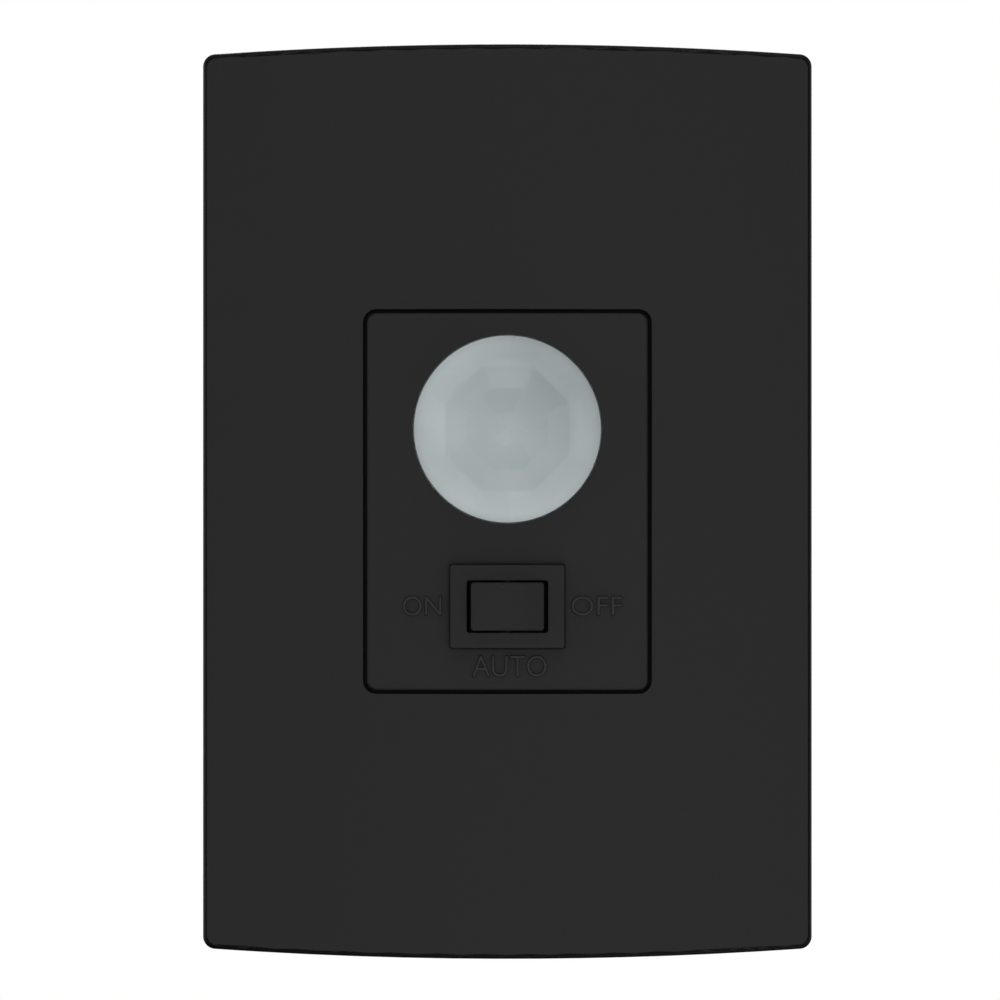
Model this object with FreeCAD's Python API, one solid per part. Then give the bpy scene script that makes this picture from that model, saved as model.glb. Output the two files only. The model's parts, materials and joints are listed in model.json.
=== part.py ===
"""Wall-mounted occupancy sensor for a 4 x 2 inch wall box, in millimetres.

The front faces -Y, +Z is up, and the wall's surface is the plane y = 0. The origin is the middle
between the two box screws. What lies in the room has a negative y, what lies in the box a positive one.
"""
import FreeCAD, Part
import math
import os

V = FreeCAD.Vector
ALONG_X, ALONG_Y, ALONG_Z = V(1, 0, 0), V(0, 1, 0), V(0, 0, 1)

# Shared by all cuts
past = 1.0  # a cutting shape runs this far past the face it opens

# Wall plate
plate_width = 80.0
plate_height = 120.0
plate_depth = 8.6  # wall to the middle of the front
plate_side_drop = 2.0  # the front falls back this much at its two long sides
plate_end_bow = 1.3  # the two ends bow out this much in the middle
plate_wall = 2.0
plate_corner_radius = 1.65
plate_edge_radius = 0.7
groove = 0.45  # gap between the plate's opening and the module, all round
opening_edge_radius = 0.15
lip_thickness = 1.4
lip_gap = 0.4  # lip to the module's flange
snap_leg_inset = 4.0  # leg's middle to the frame's side
snap_leg_z = 34.0
snap_leg_thickness = 1.6
snap_leg_width = 8.0
snap_leg_end_gap = 0.6  # leg's end to the wall
snap_bead_radius = 0.5
snap_gap = 0.1
pry_notch_width = 10.0
pry_notch_depth = 1.4

# Support frame
frame_side_gap = 3.0  # to the plate's side wall
frame_end_gap = 3.0  # to the plate's end wall, in the middle
frame_thickness = 2.2
frame_corner_radius = 5.0
frame_rim_height = 1.4
frame_rim_width = 1.2
frame_gap = 0.2  # its opening to the module's body
box_screw_spacing = 83.5
box_slot_radius = 2.1
box_slot_length = 8.0
frame_boss_radius = 3.0
frame_boss_length = 4.0

# Front shell of the sensor module
face_width = 36.9
face_height = 49.5
face_corner_radius = 1.3
face_edge_radius = 0.4
panel_thickness = 1.8
body_step = 0.25  # the body behind the flange is smaller than the face by this, each side
body_wall = 1.6
body_corner_radius = 1.2
inner_corner_radius = 0.8
flange_overlap = 1.5
flange_thickness = 2.0
ear_width = 14.0
ear_length = 6.0
ear_corner_radius = 3.0
module_screw_inset = 3.4  # screw's axis to the ear's end
shell_depth = 6.0  # wall plane to the joint with the rear cover

# Lens
lens_diameter = 24.5
lens_gap = 0.2
lens_edge_margin = 2.8  # lens hole to the face's top edge
lens_rise = 8.0
lens_wall = 0.7
lens_flange_width = 1.35
lens_flange_thickness = 0.8
lens_ring_wall = 1.4
seat_gap = 0.2
retainer_width = 1.8
retainer_thickness = 1.6

# Rocker switch
bezel_width = 15.15
bezel_height = 11.1
bezel_rise = 1.6
bezel_corner_radius = 0.35
bezel_edge_radius = 0.25
bezel_bottom_margin = 5.45  # bezel to the face's bottom edge
pad_depth = 0.1  # flat seat for the bezel, cut into the crowned face
pad_margin = 0.1
rocker_opening_length = 10.7
rocker_opening_height = 6.9
rocker_opening_corner = 0.35
switch_side_wall = 1.25
switch_end_wall = 0.9
switch_floor_thickness = 1.6
switch_board_gap = 0.2  # switch's back to the soldered leads
switch_cutout_gap = 0.12
hook_reach = 0.6
hook_length = 4.0
hook_height = 1.4
hook_gap = 0.1
rocker_length = 9.6
rocker_height = 6.35
rocker_corner_radius = 0.4
rocker_taper = 0.1  # each end leans in by this much over the rocker's thickness
rocker_proud = 1.6  # rocker's ends above the bezel
rocker_dish = 0.5
rocker_thickness = 3.0
rocker_wall = 1.2
rocker_edge_radius = 0.3
rocker_pivot_depth = 2.6  # pivot's axis below the bezel's front
rocker_tilt = 9.0  # degrees each way
trunnion_radius = 1.0
trunnion_reach = 0.6
trunnion_gap = 0.05
trunnion_end_gap = 0.1
cheek_thickness = 0.9
cheek_bite = 0.5  # how far a cheek runs into the cap
stem_length = 4.5
stem_width = 3.0
stem_height = 3.2
plunger_radius = 0.8
plunger_length = 2.6
plunger_gap = 0.15  # plunger's tip to the bridge
bore_gap = 0.05
bore_top = 0.9  # spring's seat below the pivot
spring_wire = 0.2
spring_radius = 0.6
spring_turns = 4
spring_gap = 0.3
bridge_half_length = 3.7
bridge_width = 2.2
bridge_thickness = 0.4
bridge_stand = 2.7  # bridge's pivot above the switch's floor
bridge_ratio = 0.6  # bridge's tilt as a share of the rocker's
contact_x = 3.0
contact_radius = 0.6
contact_height = 0.2
contact_gap = 0.04
terminal_thickness = 0.8
terminal_width = 2.4

# Circuit board
board_front = 3.8
board_thickness = 1.6
board_gap = 0.3
board_corner_radius = 1.0
pin_gap = 0.15
tail_length = 0.8  # how far a soldered lead passes the board
lead_bite = 0.5  # how far a lead runs into its part
board_screw_inset = 3.0  # from the shell's inner side wall
board_screw_z = -12.5
board_boss_radius = 2.3

# Rear cover
cover_depth = 24.6  # wall plane to the cover's back
cover_wall = 1.6
cover_edge_radius = 0.6
step_depth = 17.4  # wall plane to the lower step's back
step_z = -13.0
post_radius = 3.0
post_bite = 0.4  # how far a post runs into the side wall
post_seat = 3.0  # screw head's seat above the board
head_gap = 0.2
boss_radius = 2.4
driver_hole_radius = 1.9

# Screws
screw_radius = 1.1
screw_head_radius = 2.0
screw_head_height = 1.5
screw_slot = 0.6
screw_slot_length = 2.6
screw_grip = 4.5  # length in the part it is driven into
thread_gap = 0.02
screw_hole_gap = 0.15

# Infrared detector
can_radius = 4.1
can_height = 4.2
can_wall = 0.3
header_radius = 4.55
header_thickness = 0.6
filter_width = 4.6
filter_height = 3.6
filter_thickness = 0.4
filter_rim = 0.4
substrate_width = 3.6
substrate_height = 3.4
substrate_thickness = 0.8
element_width = 3.2
element_height = 2.2
element_thickness = 0.25
element_depth = 1.0  # element's face behind the filter
lead_radius = 0.25
lead_stub = 0.3  # a lead's end inside the can
lead_circle = 2.54
spacer_wall = 0.8
spacer_gap = 0.15

# Photocell
photocell_radius = 2.5
photocell_height = 5.2
photocell_rim = 0.4
photocell_rim_height = 1.0
photocell_x = 8.2
photocell_rise = 2.0  # above the lens axis
photocell_standoff = 1.2

# Relay
relay_width = 10.2
relay_height = 18.4
relay_depth = 15.7
relay_wall = 0.6
relay_base_thickness = 1.5
relay_side_gap = 0.5
relay_top_gap = 2.5
relay_fit = 0.05
yoke_thickness = 1.4
yoke_width = 6.4
yoke_inset = 0.6
core_radius = 1.7
pole_radius = 3.0
pole_thickness = 0.8
bobbin_length = 7.6
bobbin_wall = 0.5
bobbin_flange = 0.7
bobbin_side = 8.0
bobbin_gap = 0.2  # bobbin's side to the yoke's upright limb
winding_radius = 3.7
armature_thickness = 1.2
armature_tilt = 3.0  # degrees
armature_overhang = 0.5  # past the pole's face
armature_gap = 0.45  # armature to the pole's face at rest
leaf_thickness = 0.3
leaf_width = 4.0
rivet_radius = 1.2
rivet_height = 0.8
rivet_margin = 0.3
blade_thickness = 0.6
blade_gap = 1.2  # cover's inner wall to the fixed blade
relay_pin_radius = 0.4

# Other parts on the board's rear
film_width = 6.5
film_length = 13.0
film_depth = 12.0
film_standoff = 1.2  # clears the detector's soldered leads
film_gap = 1.2
film_pitch = 10.0
film_edge_radius = 0.5
smoothing_radius = 3.15
smoothing_length = 11.5
rail_radius = 2.0
rail_length = 7.0
rail_x = 8.4
rail_z = -9.6
capacitor_pitch = 2.0
groove_height = 1.6  # board to the groove over a round capacitor's seal
groove_wire = 0.4  # radius of the groove's section
groove_offset = 0.15  # its centre outside the can
varistor_radius = 4.6
varistor_thickness = 3.8
varistor_z = -5.4
varistor_standoff = 1.0
resistor_radius = 1.6
resistor_length = 6.0
resistor_x = -8.2
resistor_z = -5.2
diode_radius = 1.3
diode_length = 5.0
diode_pitch = 3.2
diode_z = -4.6
axial_lead = 1.3  # body's end to the lead's bend
axial_lead_radius = 0.3
axial_standoff = 0.3
trimmer_side = 6.8
trimmer_height = 5.0
trimmer_corner_radius = 0.4
trimmer_side_gap = 0.3
time_trimmer_z = 6.0
trimmer_pitch = 9.5
spindle_radius = 1.5
spindle_collar_radius = 2.3
spindle_collar = 1.0
spindle_socket = 3.0
spindle_gap = 0.05
spindle_hole_gap = 0.15
spindle_recess = 0.2
spindle_slot_width = 0.6
spindle_slot_depth = 1.0

# Wire terminal
pole_pitch = 5.08
pole_depth = 7.6
pole_height = 10.2
pole_bottom_gap = 0.5
pole_window_gap = 0.38  # outer pole to the window's edge
wire_radius = 1.9
wire_bore_depth = 5.4
wire_axis_height = 3.4
clamp_side = 3.8
clamp_height = 3.0
clamp_floor = 0.6
clamp_fit = 0.05
clamp_screw_radius = 1.4
clamp_screw_z = 3.4  # screw's axis above the pole's lower face
clamp_screw_recess = 0.4
clamp_slot_depth = 0.8
blade_width = 2.4
blade_offset = 0.6  # wire bore's end to the blade
clamp_blade = 0.6

# Chips on the board's front
chip_height = 1.5
chip_foot = 0.2
amplifier_x = -9.6
amplifier_length = 8.7
controller_z = -4.0
controller_length = 4.9
chip_body_width = 3.9
chip_leg_pitch = 1.27
chip_leg_reach = 1.0
chip_leg_width = 0.42
transistor_length = 2.9
transistor_width = 1.4
transistor_height = 1.1
transistor_pitch = 1.9  # between its two lower legs
transistor_x = -9.0
transistor_rise = 6.6  # above the lens axis
passive_length = 2.0
passive_width = 1.25
resistor_thickness = 0.5
capacitor_thickness = 0.9
passive_pitch = 1.9
passive_inner_x = 3.9
passive_outer_x = 6.6
capacitor_x = 4.4
capacitor_from_photocell = 4.18  # along Z

# Levels along Y and places that follow from the sizes above
frame_front = -frame_thickness
flange_front = frame_front - flange_thickness
face_front = -plate_depth
panel_inner = face_front + panel_thickness
board_rear = board_front + board_thickness
tail_front = board_front - tail_length
cover_ceiling = cover_depth - cover_wall
step_ceiling = step_depth - cover_wall
frame_width = plate_width - 2 * (plate_wall + frame_side_gap)
frame_height = plate_height - 2 * (plate_wall + frame_end_gap)
snap_leg_x = frame_width / 2 - snap_leg_inset
opening_width = face_width + 2 * groove
opening_height = face_height + 2 * groove
body_width = face_width - 2 * body_step
body_height = face_height - 2 * body_step
inner_half_width = body_width / 2 - body_wall
inner_half_height = body_height / 2 - body_wall
ear_end = body_height / 2 + flange_overlap + ear_length
module_screw_z = ear_end - module_screw_inset
lens_radius = lens_diameter / 2
lens_hole_radius = lens_radius + lens_gap
lens_z = face_height / 2 - lens_edge_margin - lens_hole_radius
lens_seat_radius = lens_radius + lens_flange_width + seat_gap
lens_flange_back = panel_inner + lens_flange_thickness
retainer_back = lens_flange_back + retainer_thickness
dome_radius = (lens_radius**2 + lens_rise**2) / (2 * lens_rise)
dome_centre = face_front - lens_rise + dome_radius
switch_z = -face_height / 2 + bezel_bottom_margin + bezel_height / 2
photocell_z = lens_z + photocell_rise
pad_front = face_front + pad_depth
bezel_front = pad_front - bezel_rise
switch_back = board_front - tail_length - switch_board_gap
switch_floor = switch_back - switch_floor_thickness
switch_width = rocker_opening_length + 2 * switch_side_wall
switch_height = rocker_opening_height + 2 * switch_end_wall
rocker_pivot = bezel_front + rocker_pivot_depth
rocker_top = bezel_front - rocker_proud
rocker_back = rocker_top + rocker_thickness
stem_end = rocker_pivot + stem_length
bridge_pivot = switch_floor - bridge_stand
bridge_top = bridge_pivot - bridge_thickness
plunger_tip = bridge_top - plunger_gap
plunger_head = plunger_tip - plunger_length
spring_seat = rocker_pivot + bore_top
post_x = inner_half_width - post_radius + post_bite
post_z = inner_half_height - post_radius + post_bite
cover_screw_places = [(0, post_z), (-post_x, -post_z), (post_x, -post_z)]
board_screw_x = inner_half_width - board_screw_inset
board_screw_places = [(-board_screw_x, board_screw_z), (board_screw_x, board_screw_z)]
relay_x = -(inner_half_width - relay_side_gap - relay_width / 2)
relay_z = inner_half_height - relay_top_gap - relay_height / 2
trimmer_x = inner_half_width - trimmer_side_gap - trimmer_side / 2
light_trimmer_z = time_trimmer_z - trimmer_pitch
pole_bottom = -(inner_half_height - pole_bottom_gap)
pole_top = pole_bottom + pole_depth
wire_axis = board_rear + wire_axis_height
pole_places = [-pole_pitch, 0.0, pole_pitch]
passive_columns = (-passive_outer_x, -passive_inner_x, passive_inner_x, passive_outer_x)
crown_radius = ((plate_width / 2) ** 2 + plate_side_drop**2) / (2 * plate_side_drop)

board_holes = []
os.makedirs("parts", exist_ok=True)


def save(name, *solids):
    """Write one piece, or a group of like pieces, as a STEP file."""
    shape = solids[0] if len(solids) == 1 else Part.makeCompound(list(solids))
    print(f"{name:24s} solids {len(shape.Solids):2d}  volume {shape.Volume:9.2f}  valid {shape.isValid()}")
    shape.exportStep(f"parts/{name}.step")
    return shape


def block(x, y, z):
    """Box between two limits on each axis."""
    return Part.makeBox(x[1] - x[0], y[1] - y[0], z[1] - z[0], V(x[0], y[0], z[0]))


def slab(centre, width, height, y, corner=0.0):
    """Box around a centre in XZ, between two depths, with its four upright-in-depth edges rounded."""
    x, z = centre
    shape = block((x - width / 2, x + width / 2), y, (z - height / 2, z + height / 2))
    if corner:
        edges = [e for e in shape.Edges if abs(e.tangentAt(e.FirstParameter).y) > 0.99]
        shape = shape.makeFillet(corner, edges)
    return shape


def rod(radius, centre, y):
    """Cylinder along Y around a centre in XZ."""
    return Part.makeCylinder(radius, y[1] - y[0], V(centre[0], y[0], centre[1]), ALONG_Y)


def tube(outer, inner, centre, y):
    return rod(outer, centre, y).cut(rod(inner, centre, y))


def rod_z(radius, x, y, z):
    return Part.makeCylinder(radius, z[1] - z[0], V(x, y, z[0]), ALONG_Z)


def rod_x(radius, x, y, z):
    return Part.makeCylinder(radius, x[1] - x[0], V(x[0], y, z), ALONG_X)


def fuse(*shapes):
    return shapes[0].multiFuse(list(shapes[1:])).removeSplitter()


def front_edges(shape, y):
    """Edges that lie wholly in one plane across Y."""
    return [e for e in shape.Edges if all(abs(v.Y - y) < 1e-4 for v in e.Vertexes)
            and abs(e.CenterOfMass.y - y) < 1e-4]


def crown(inset):
    """Cylinder about an upright axis whose near side is the plate's crowned front, inset by a wall."""
    height = 2 * plate_height
    centre = V(0, face_front + crown_radius, -height / 2)
    return Part.makeCylinder(crown_radius - inset, height, centre, ALONG_Z)


def crown_face_edges(shape):
    """Edges of the crowned front face."""
    round_faces = [f for f in shape.Faces if isinstance(f.Surface, Part.Cylinder)]
    crowned = [f for f in round_faces if f.Surface.Radius > plate_width]
    return max(crowned, key=lambda f: f.Area).OuterWire.Edges


def board_pin(radius, centre, y):
    """Round lead along Y, with its hole in the board."""
    board_holes.append((centre, radius + pin_gap))
    return rod(radius, centre, y)


def bowed_outline(inset, y):
    """Plate's outline, pulled in by a wall: straight sides and two bowed ends."""
    half_width = plate_width / 2 - inset
    middle = plate_height / 2 - inset
    corner = middle - plate_end_bow
    ends = [V(-half_width, y[0], -corner), V(half_width, y[0], -corner),
            V(half_width, y[0], corner), V(-half_width, y[0], corner)]
    edges = [
        Part.Arc(ends[0], V(0, y[0], -middle), ends[1]).toShape(),
        Part.LineSegment(ends[1], ends[2]).toShape(),
        Part.Arc(ends[2], V(0, y[0], middle), ends[3]).toShape(),
        Part.LineSegment(ends[3], ends[0]).toShape(),
    ]
    solid = Part.Face(Part.Wire(edges)).extrude(V(0, y[1] - y[0], 0))
    corners = [e for e in solid.Edges if abs(e.tangentAt(e.FirstParameter).y) > 0.99]
    return solid.makeFillet(plate_corner_radius, corners)


def make_wall_plate():
    """Crowned cover with an open back, a lip round its opening and four legs with beads."""
    outer = bowed_outline(0, (face_front - past, 0)).common(crown(0))
    outer = outer.makeFillet(plate_edge_radius, crown_face_edges(outer))
    lip_back = flange_front - lip_gap
    lip = slab((0, 0), opening_width + 2 * lip_thickness, opening_height + 2 * lip_thickness,
               (face_front - past, lip_back), face_corner_radius + groove + lip_thickness)
    hollow = bowed_outline(plate_wall, (face_front, past)).common(crown(plate_wall)).cut(lip)
    opening = slab((0, 0), opening_width, opening_height, (face_front - past, past),
                   face_corner_radius + groove)
    plate = outer.cut(hollow).cut(opening)
    rim = [e for e in plate.Edges
           if abs(e.CenterOfMass.x) < opening_width / 2 + 0.5
           and abs(e.CenterOfMass.z) < opening_height / 2 + 0.5
           and e.CenterOfMass.y < lip_back - 1 and e.BoundBox.YLength < plate_side_drop]
    plate = plate.makeFillet(opening_edge_radius, rim)
    notch = slab((0, -plate_height / 2), pry_notch_width, 4 * plate_wall, (-pry_notch_depth, past))
    plate = plate.cut(notch)
    drop = crown_radius - math.sqrt(crown_radius**2 - snap_leg_x**2)
    leg_root = face_front + drop + plate_wall / 2
    for side in (-1, 1):
        for end in (-1, 1):
            centre = (side * snap_leg_x, end * snap_leg_z)
            leg = slab(centre, snap_leg_thickness, snap_leg_width, (leg_root, -snap_leg_end_gap))
            bead = rod_z(snap_bead_radius, centre[0] + side * snap_leg_thickness / 2,
                         -frame_thickness / 2 - snap_bead_radius / 2,
                         (centre[1] - snap_leg_width / 2, centre[1] + snap_leg_width / 2))
            plate = plate.fuse(leg).fuse(bead)
    return plate.removeSplitter()


def make_support_frame():
    """Flat frame with a raised rim, the module's opening, box screw slots and two screw bosses."""
    frame = slab((0, 0), frame_width, frame_height, (frame_front - frame_rim_height, 0), frame_corner_radius)
    pocket = slab((0, 0), frame_width - 2 * frame_rim_width, frame_height - 2 * frame_rim_width,
                  (frame_front - 2 * frame_rim_height, frame_front), frame_corner_radius - frame_rim_width)
    frame = frame.cut(pocket)
    frame = frame.cut(slab((0, 0), body_width + 2 * frame_gap, body_height + 2 * frame_gap,
                           (frame_front - past, past), body_corner_radius))
    window_width = snap_leg_thickness + snap_bead_radius + 4 * snap_gap
    for end in (-1, 1):
        screw = (0, end * module_screw_z)
        frame = frame.fuse(rod(frame_boss_radius, screw, (frame_front, frame_boss_length)))
        pilot = rod(screw_radius + thread_gap, screw, (frame_front - past, frame_boss_length + past))
        frame = frame.cut(pilot)
        slot_z = end * box_screw_spacing / 2
        straight = box_slot_length - 2 * box_slot_radius
        slot = slab((0, slot_z), 2 * box_slot_radius, straight, (frame_front - past, past))
        slot = slot.fuse(rod(box_slot_radius, (0, slot_z - straight / 2), (frame_front - past, past)))
        slot = slot.fuse(rod(box_slot_radius, (0, slot_z + straight / 2), (frame_front - past, past)))
        frame = frame.cut(slot.removeSplitter())
        for side in (-1, 1):
            window_x = side * (snap_leg_x + snap_bead_radius / 2)
            frame = frame.cut(slab((window_x, end * snap_leg_z), window_width,
                                   snap_leg_width + 4 * snap_gap, (frame_front - past, past)))
    return frame.removeSplitter()


def make_module_front():
    """Crowned face, flange with two ears, body, lens seat, switch cut-out and five bosses."""
    face = slab((0, 0), face_width, face_height, (face_front - past, flange_front), face_corner_radius)
    face = face.common(crown(0))
    face = face.makeFillet(face_edge_radius, crown_face_edges(face))
    flange = slab((0, 0), body_width + 2 * flange_overlap, body_height + 2 * flange_overlap,
                  (flange_front, frame_front), face_corner_radius)
    ears = slab((0, 0), ear_width, 2 * ear_end, (flange_front, frame_front), ear_corner_radius)
    body = slab((0, 0), body_width, body_height, (frame_front, shell_depth), body_corner_radius)
    outer = fuse(face, flange, ears, body)
    inside = slab((0, 0), 2 * inner_half_width, 2 * inner_half_height,
                  (panel_inner, shell_depth + past), inner_corner_radius)
    shell = outer.cut(inside)

    lens_centre = (0, lens_z)
    ring = rod(lens_seat_radius + lens_ring_wall, lens_centre, (panel_inner, retainer_back + seat_gap))
    shell = shell.fuse(ring.common(face))
    for centre in board_screw_places:
        shell = shell.fuse(rod(board_boss_radius, centre, (panel_inner, board_front)))
    for centre in cover_screw_places[1:]:
        shell = shell.fuse(rod(boss_radius, centre, (panel_inner, board_front)))
    top_boss = rod(boss_radius, cover_screw_places[0], (retainer_back + seat_gap, board_front))
    web = block((-boss_radius / 2, boss_radius / 2), (retainer_back + seat_gap, board_front),
                (post_z, inner_half_height + body_wall / 2))
    shell = shell.fuse(top_boss).fuse(web)
    shell = shell.cut(rod(lens_seat_radius, lens_centre, (panel_inner, retainer_back + seat_gap)))
    shell = shell.cut(rod(lens_hole_radius, lens_centre, (face_front - past, panel_inner)))

    pad = slab((0, switch_z), bezel_width + 2 * pad_margin, bezel_height + 2 * pad_margin,
               (face_front - past, pad_front), bezel_corner_radius)
    cutout = slab((0, switch_z), switch_width + 2 * switch_cutout_gap, switch_height + 2 * switch_cutout_gap,
                  (face_front - past, retainer_back + seat_gap + past))
    shell = shell.cut(pad).cut(cutout)
    for end in (-1, 1):
        shell = shell.cut(rod(screw_radius + screw_hole_gap, (0, end * module_screw_z),
                              (flange_front - past, frame_front + past)))
    for centre in board_screw_places + cover_screw_places:
        pilot = rod(screw_radius + thread_gap, centre, (board_front - screw_grip - past, board_front + past))
        shell = shell.cut(pilot)
    return shell.removeSplitter()


def make_lens():
    """Thin dome on a short barrel, with a flange that sits behind the face."""
    def on_dome(radius, angle):
        return V(radius * math.sin(angle), dome_centre - radius * math.cos(angle), 0)

    rim_angle = math.asin(lens_radius / dome_radius)
    inner_dome = dome_radius - lens_wall
    inner_barrel = lens_radius - lens_wall
    inner_angle = math.asin(inner_barrel / inner_dome)
    flange_radius = lens_radius + lens_flange_width
    points = [on_dome(dome_radius, rim_angle), V(lens_radius, panel_inner, 0),
              V(flange_radius, panel_inner, 0), V(flange_radius, lens_flange_back, 0),
              V(inner_barrel, lens_flange_back, 0),
              on_dome(inner_dome, inner_angle)]
    edges = [Part.Arc(on_dome(dome_radius, 0), on_dome(dome_radius, rim_angle / 2), points[0]).toShape()]
    edges += [Part.LineSegment(a, b).toShape() for a, b in zip(points, points[1:])]
    edges.append(Part.Arc(points[-1], on_dome(inner_dome, inner_angle / 2), on_dome(inner_dome, 0)).toShape())
    edges.append(Part.LineSegment(on_dome(inner_dome, 0), on_dome(dome_radius, 0)).toShape())
    lens = Part.Face(Part.Wire(edges)).revolve(V(0, 0, 0), ALONG_Y, 360)
    lens.translate(V(0, 0, lens_z))
    return lens


def make_screw(centre, head_seat, length, head_toward):
    """Pan-head screw along Y. head_toward is -1 when its head is on the room's side."""
    head = (head_seat, head_seat + head_toward * screw_head_height)
    shank = (head_seat, head_seat - head_toward * length)
    screw = rod(screw_head_radius, centre, (min(head), max(head)))
    top = head[1]
    screw = screw.makeFillet(screw_head_height / 3, front_edges(screw, top))
    screw = screw.fuse(rod(screw_radius, centre, (min(shank), max(shank))))
    slot_end = top - head_toward * screw_head_height / 2
    for width, height in ((screw_slot, screw_slot_length), (screw_slot_length, screw_slot)):
        slot_y = sorted((top + head_toward * past, slot_end))
        screw = screw.cut(slab(centre, width, height, slot_y))
    return screw.removeSplitter()


def make_rear_cover():
    """Stepped rear shell with three posts, spindle holes, driver holes and the wire window."""
    def stepped(half_width, half_height, corner, back, low_back, low_z):
        deep = slab((0, 0), 2 * half_width, 2 * half_height, (shell_depth, back), corner)
        low = block((-plate_width, plate_width), (low_back, back + past), (-plate_height, low_z))
        return deep.cut(low)

    outer = stepped(body_width / 2, body_height / 2, body_corner_radius, cover_depth, step_depth, step_z)
    outer = outer.makeFillet(cover_edge_radius, front_edges(outer, cover_depth))
    inside = stepped(inner_half_width, inner_half_height, inner_corner_radius, cover_ceiling,
                     step_ceiling, step_z + cover_wall)
    cover = outer.cut(inside)
    head_seat = board_rear + post_seat
    for centre in cover_screw_places:
        back = cover_ceiling if centre[1] > step_z else step_ceiling
        cover = cover.fuse(rod(post_radius, centre, (board_rear, back + cover_wall / 2)))
    beside_shell = (board_rear - past, shell_depth)
    shell_wall = slab((0, 0), body_width, body_height, beside_shell)
    room = slab((0, 0), 2 * (inner_half_width - board_gap), 2 * (inner_half_height - board_gap), beside_shell)
    cover = cover.cut(shell_wall.cut(room))
    for centre in cover_screw_places:
        cover = cover.cut(rod(screw_head_radius + head_gap, centre, (head_seat, cover_depth + past)))
        cover = cover.cut(rod(screw_radius + screw_hole_gap, centre, (board_rear - past, head_seat + past)))
    for z in (time_trimmer_z, light_trimmer_z):
        cover = cover.cut(rod(spindle_radius + spindle_hole_gap, (trimmer_x, z),
                              (cover_ceiling - past, cover_depth + past)))
    for x in pole_places:
        cover = cover.cut(rod(driver_hole_radius, (x, pole_bottom + clamp_screw_z),
                              (step_ceiling - past, step_depth + past)))
    window_half = 1.5 * pole_pitch + pole_window_gap
    window = block((-window_half, window_half), (shell_depth - past, wire_axis + wire_radius + cover_wall),
                   (-plate_height, -inner_half_height + past / 10))
    return cover.cut(window).removeSplitter()


def make_rocker_frame():
    """Raised bezel and open box of the switch in one moulding, with hooks and two pivot pockets."""
    centre = (0, switch_z)
    bezel = slab(centre, bezel_width, bezel_height, (bezel_front, pad_front), bezel_corner_radius)
    bezel = bezel.makeFillet(bezel_edge_radius, front_edges(bezel, bezel_front))
    body = slab(centre, switch_width, switch_height, (pad_front, switch_back))
    frame = bezel.fuse(body)
    hook_front = panel_inner + hook_gap
    for side in (-1, 1):
        tip = side * (switch_width / 2 + hook_reach)
        root = side * switch_width / 2
        profile = Part.makePolygon([V(root, hook_front, 0), V(tip, hook_front, 0),
                                    V(root, hook_front + hook_height, 0), V(root, hook_front, 0)])
        hook = Part.Face(profile).extrude(V(0, 0, hook_length))
        hook.translate(V(0, 0, switch_z - hook_length / 2))
        frame = frame.fuse(hook)
    frame = frame.cut(slab(centre, rocker_opening_length, rocker_opening_height,
                           (bezel_front - past, switch_floor), rocker_opening_corner))
    pocket = rocker_opening_height / 2 + trunnion_reach + trunnion_end_gap
    frame = frame.cut(rod_z(trunnion_radius + trunnion_gap, 0, rocker_pivot,
                            (switch_z - pocket, switch_z + pocket)))
    for x in (-contact_x, 0, contact_x):
        frame = frame.cut(slab((x, switch_z), terminal_thickness + 2 * thread_gap,
                               terminal_width + 2 * thread_gap, (switch_floor - past, switch_back + past)))
    return frame.removeSplitter()


def make_rocker_cap():
    """Dished rocker, hollow below, with a bored stem and two trunnions on cheeks."""
    half, low_half = rocker_length / 2, rocker_length / 2 - rocker_taper
    corners = [V(-half, rocker_top, 0), V(half, rocker_top, 0), V(low_half, rocker_back, 0),
               V(-low_half, rocker_back, 0)]
    edges = [Part.Arc(corners[0], V(0, rocker_top + rocker_dish, 0), corners[1]).toShape()]
    edges += [Part.LineSegment(a, b).toShape() for a, b in zip(corners[1:], corners[2:] + corners[:1])]
    cap = Part.Face(Part.Wire(edges)).extrude(V(0, 0, rocker_height))
    cap.translate(V(0, 0, switch_z - rocker_height / 2))
    corners = [e for e in cap.Edges if abs(e.tangentAt(e.FirstParameter).y) > 0.9]
    cap = cap.makeFillet(rocker_corner_radius, corners)
    top = [e for e in cap.Edges if e.CenterOfMass.y < rocker_top + rocker_dish and e.BoundBox.YLength < 1]
    cap = cap.makeFillet(rocker_edge_radius, top)
    centre = (0, switch_z)
    ceiling = rocker_top + rocker_dish + rocker_wall
    cap = cap.cut(slab(centre, rocker_length - 2 * rocker_wall - 2 * rocker_taper,
                       rocker_height - 2 * rocker_wall, (ceiling, rocker_back + past)))
    cap = cap.fuse(slab(centre, stem_width, stem_height, (ceiling - rocker_wall / 2, stem_end)))
    for side in (-1, 1):
        outer = switch_z + side * rocker_height / 2
        inner = outer - side * cheek_thickness
        tip = switch_z + side * (rocker_opening_height / 2 + trunnion_reach)
        low, high = min(inner, outer), max(inner, outer)
        cheek = block((-stem_width / 2, stem_width / 2), (rocker_back - cheek_bite, rocker_pivot),
                      (low, high))
        round_end = rod_z(stem_width / 2, 0, rocker_pivot, (low, high))
        pin = rod_z(trunnion_radius, 0, rocker_pivot, (min(inner, tip), max(inner, tip)))
        cap = cap.fuse(cheek).fuse(round_end).fuse(pin)
    cap = cap.cut(rod(plunger_radius + bore_gap, centre, (spring_seat, stem_end + past)))
    return cap.removeSplitter()


def make_plunger():
    straight_end = plunger_tip - plunger_radius
    pin = rod(plunger_radius, (0, switch_z), (plunger_head, straight_end))
    return pin.fuse(Part.makeSphere(plunger_radius, V(0, straight_end, switch_z))).removeSplitter()


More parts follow.
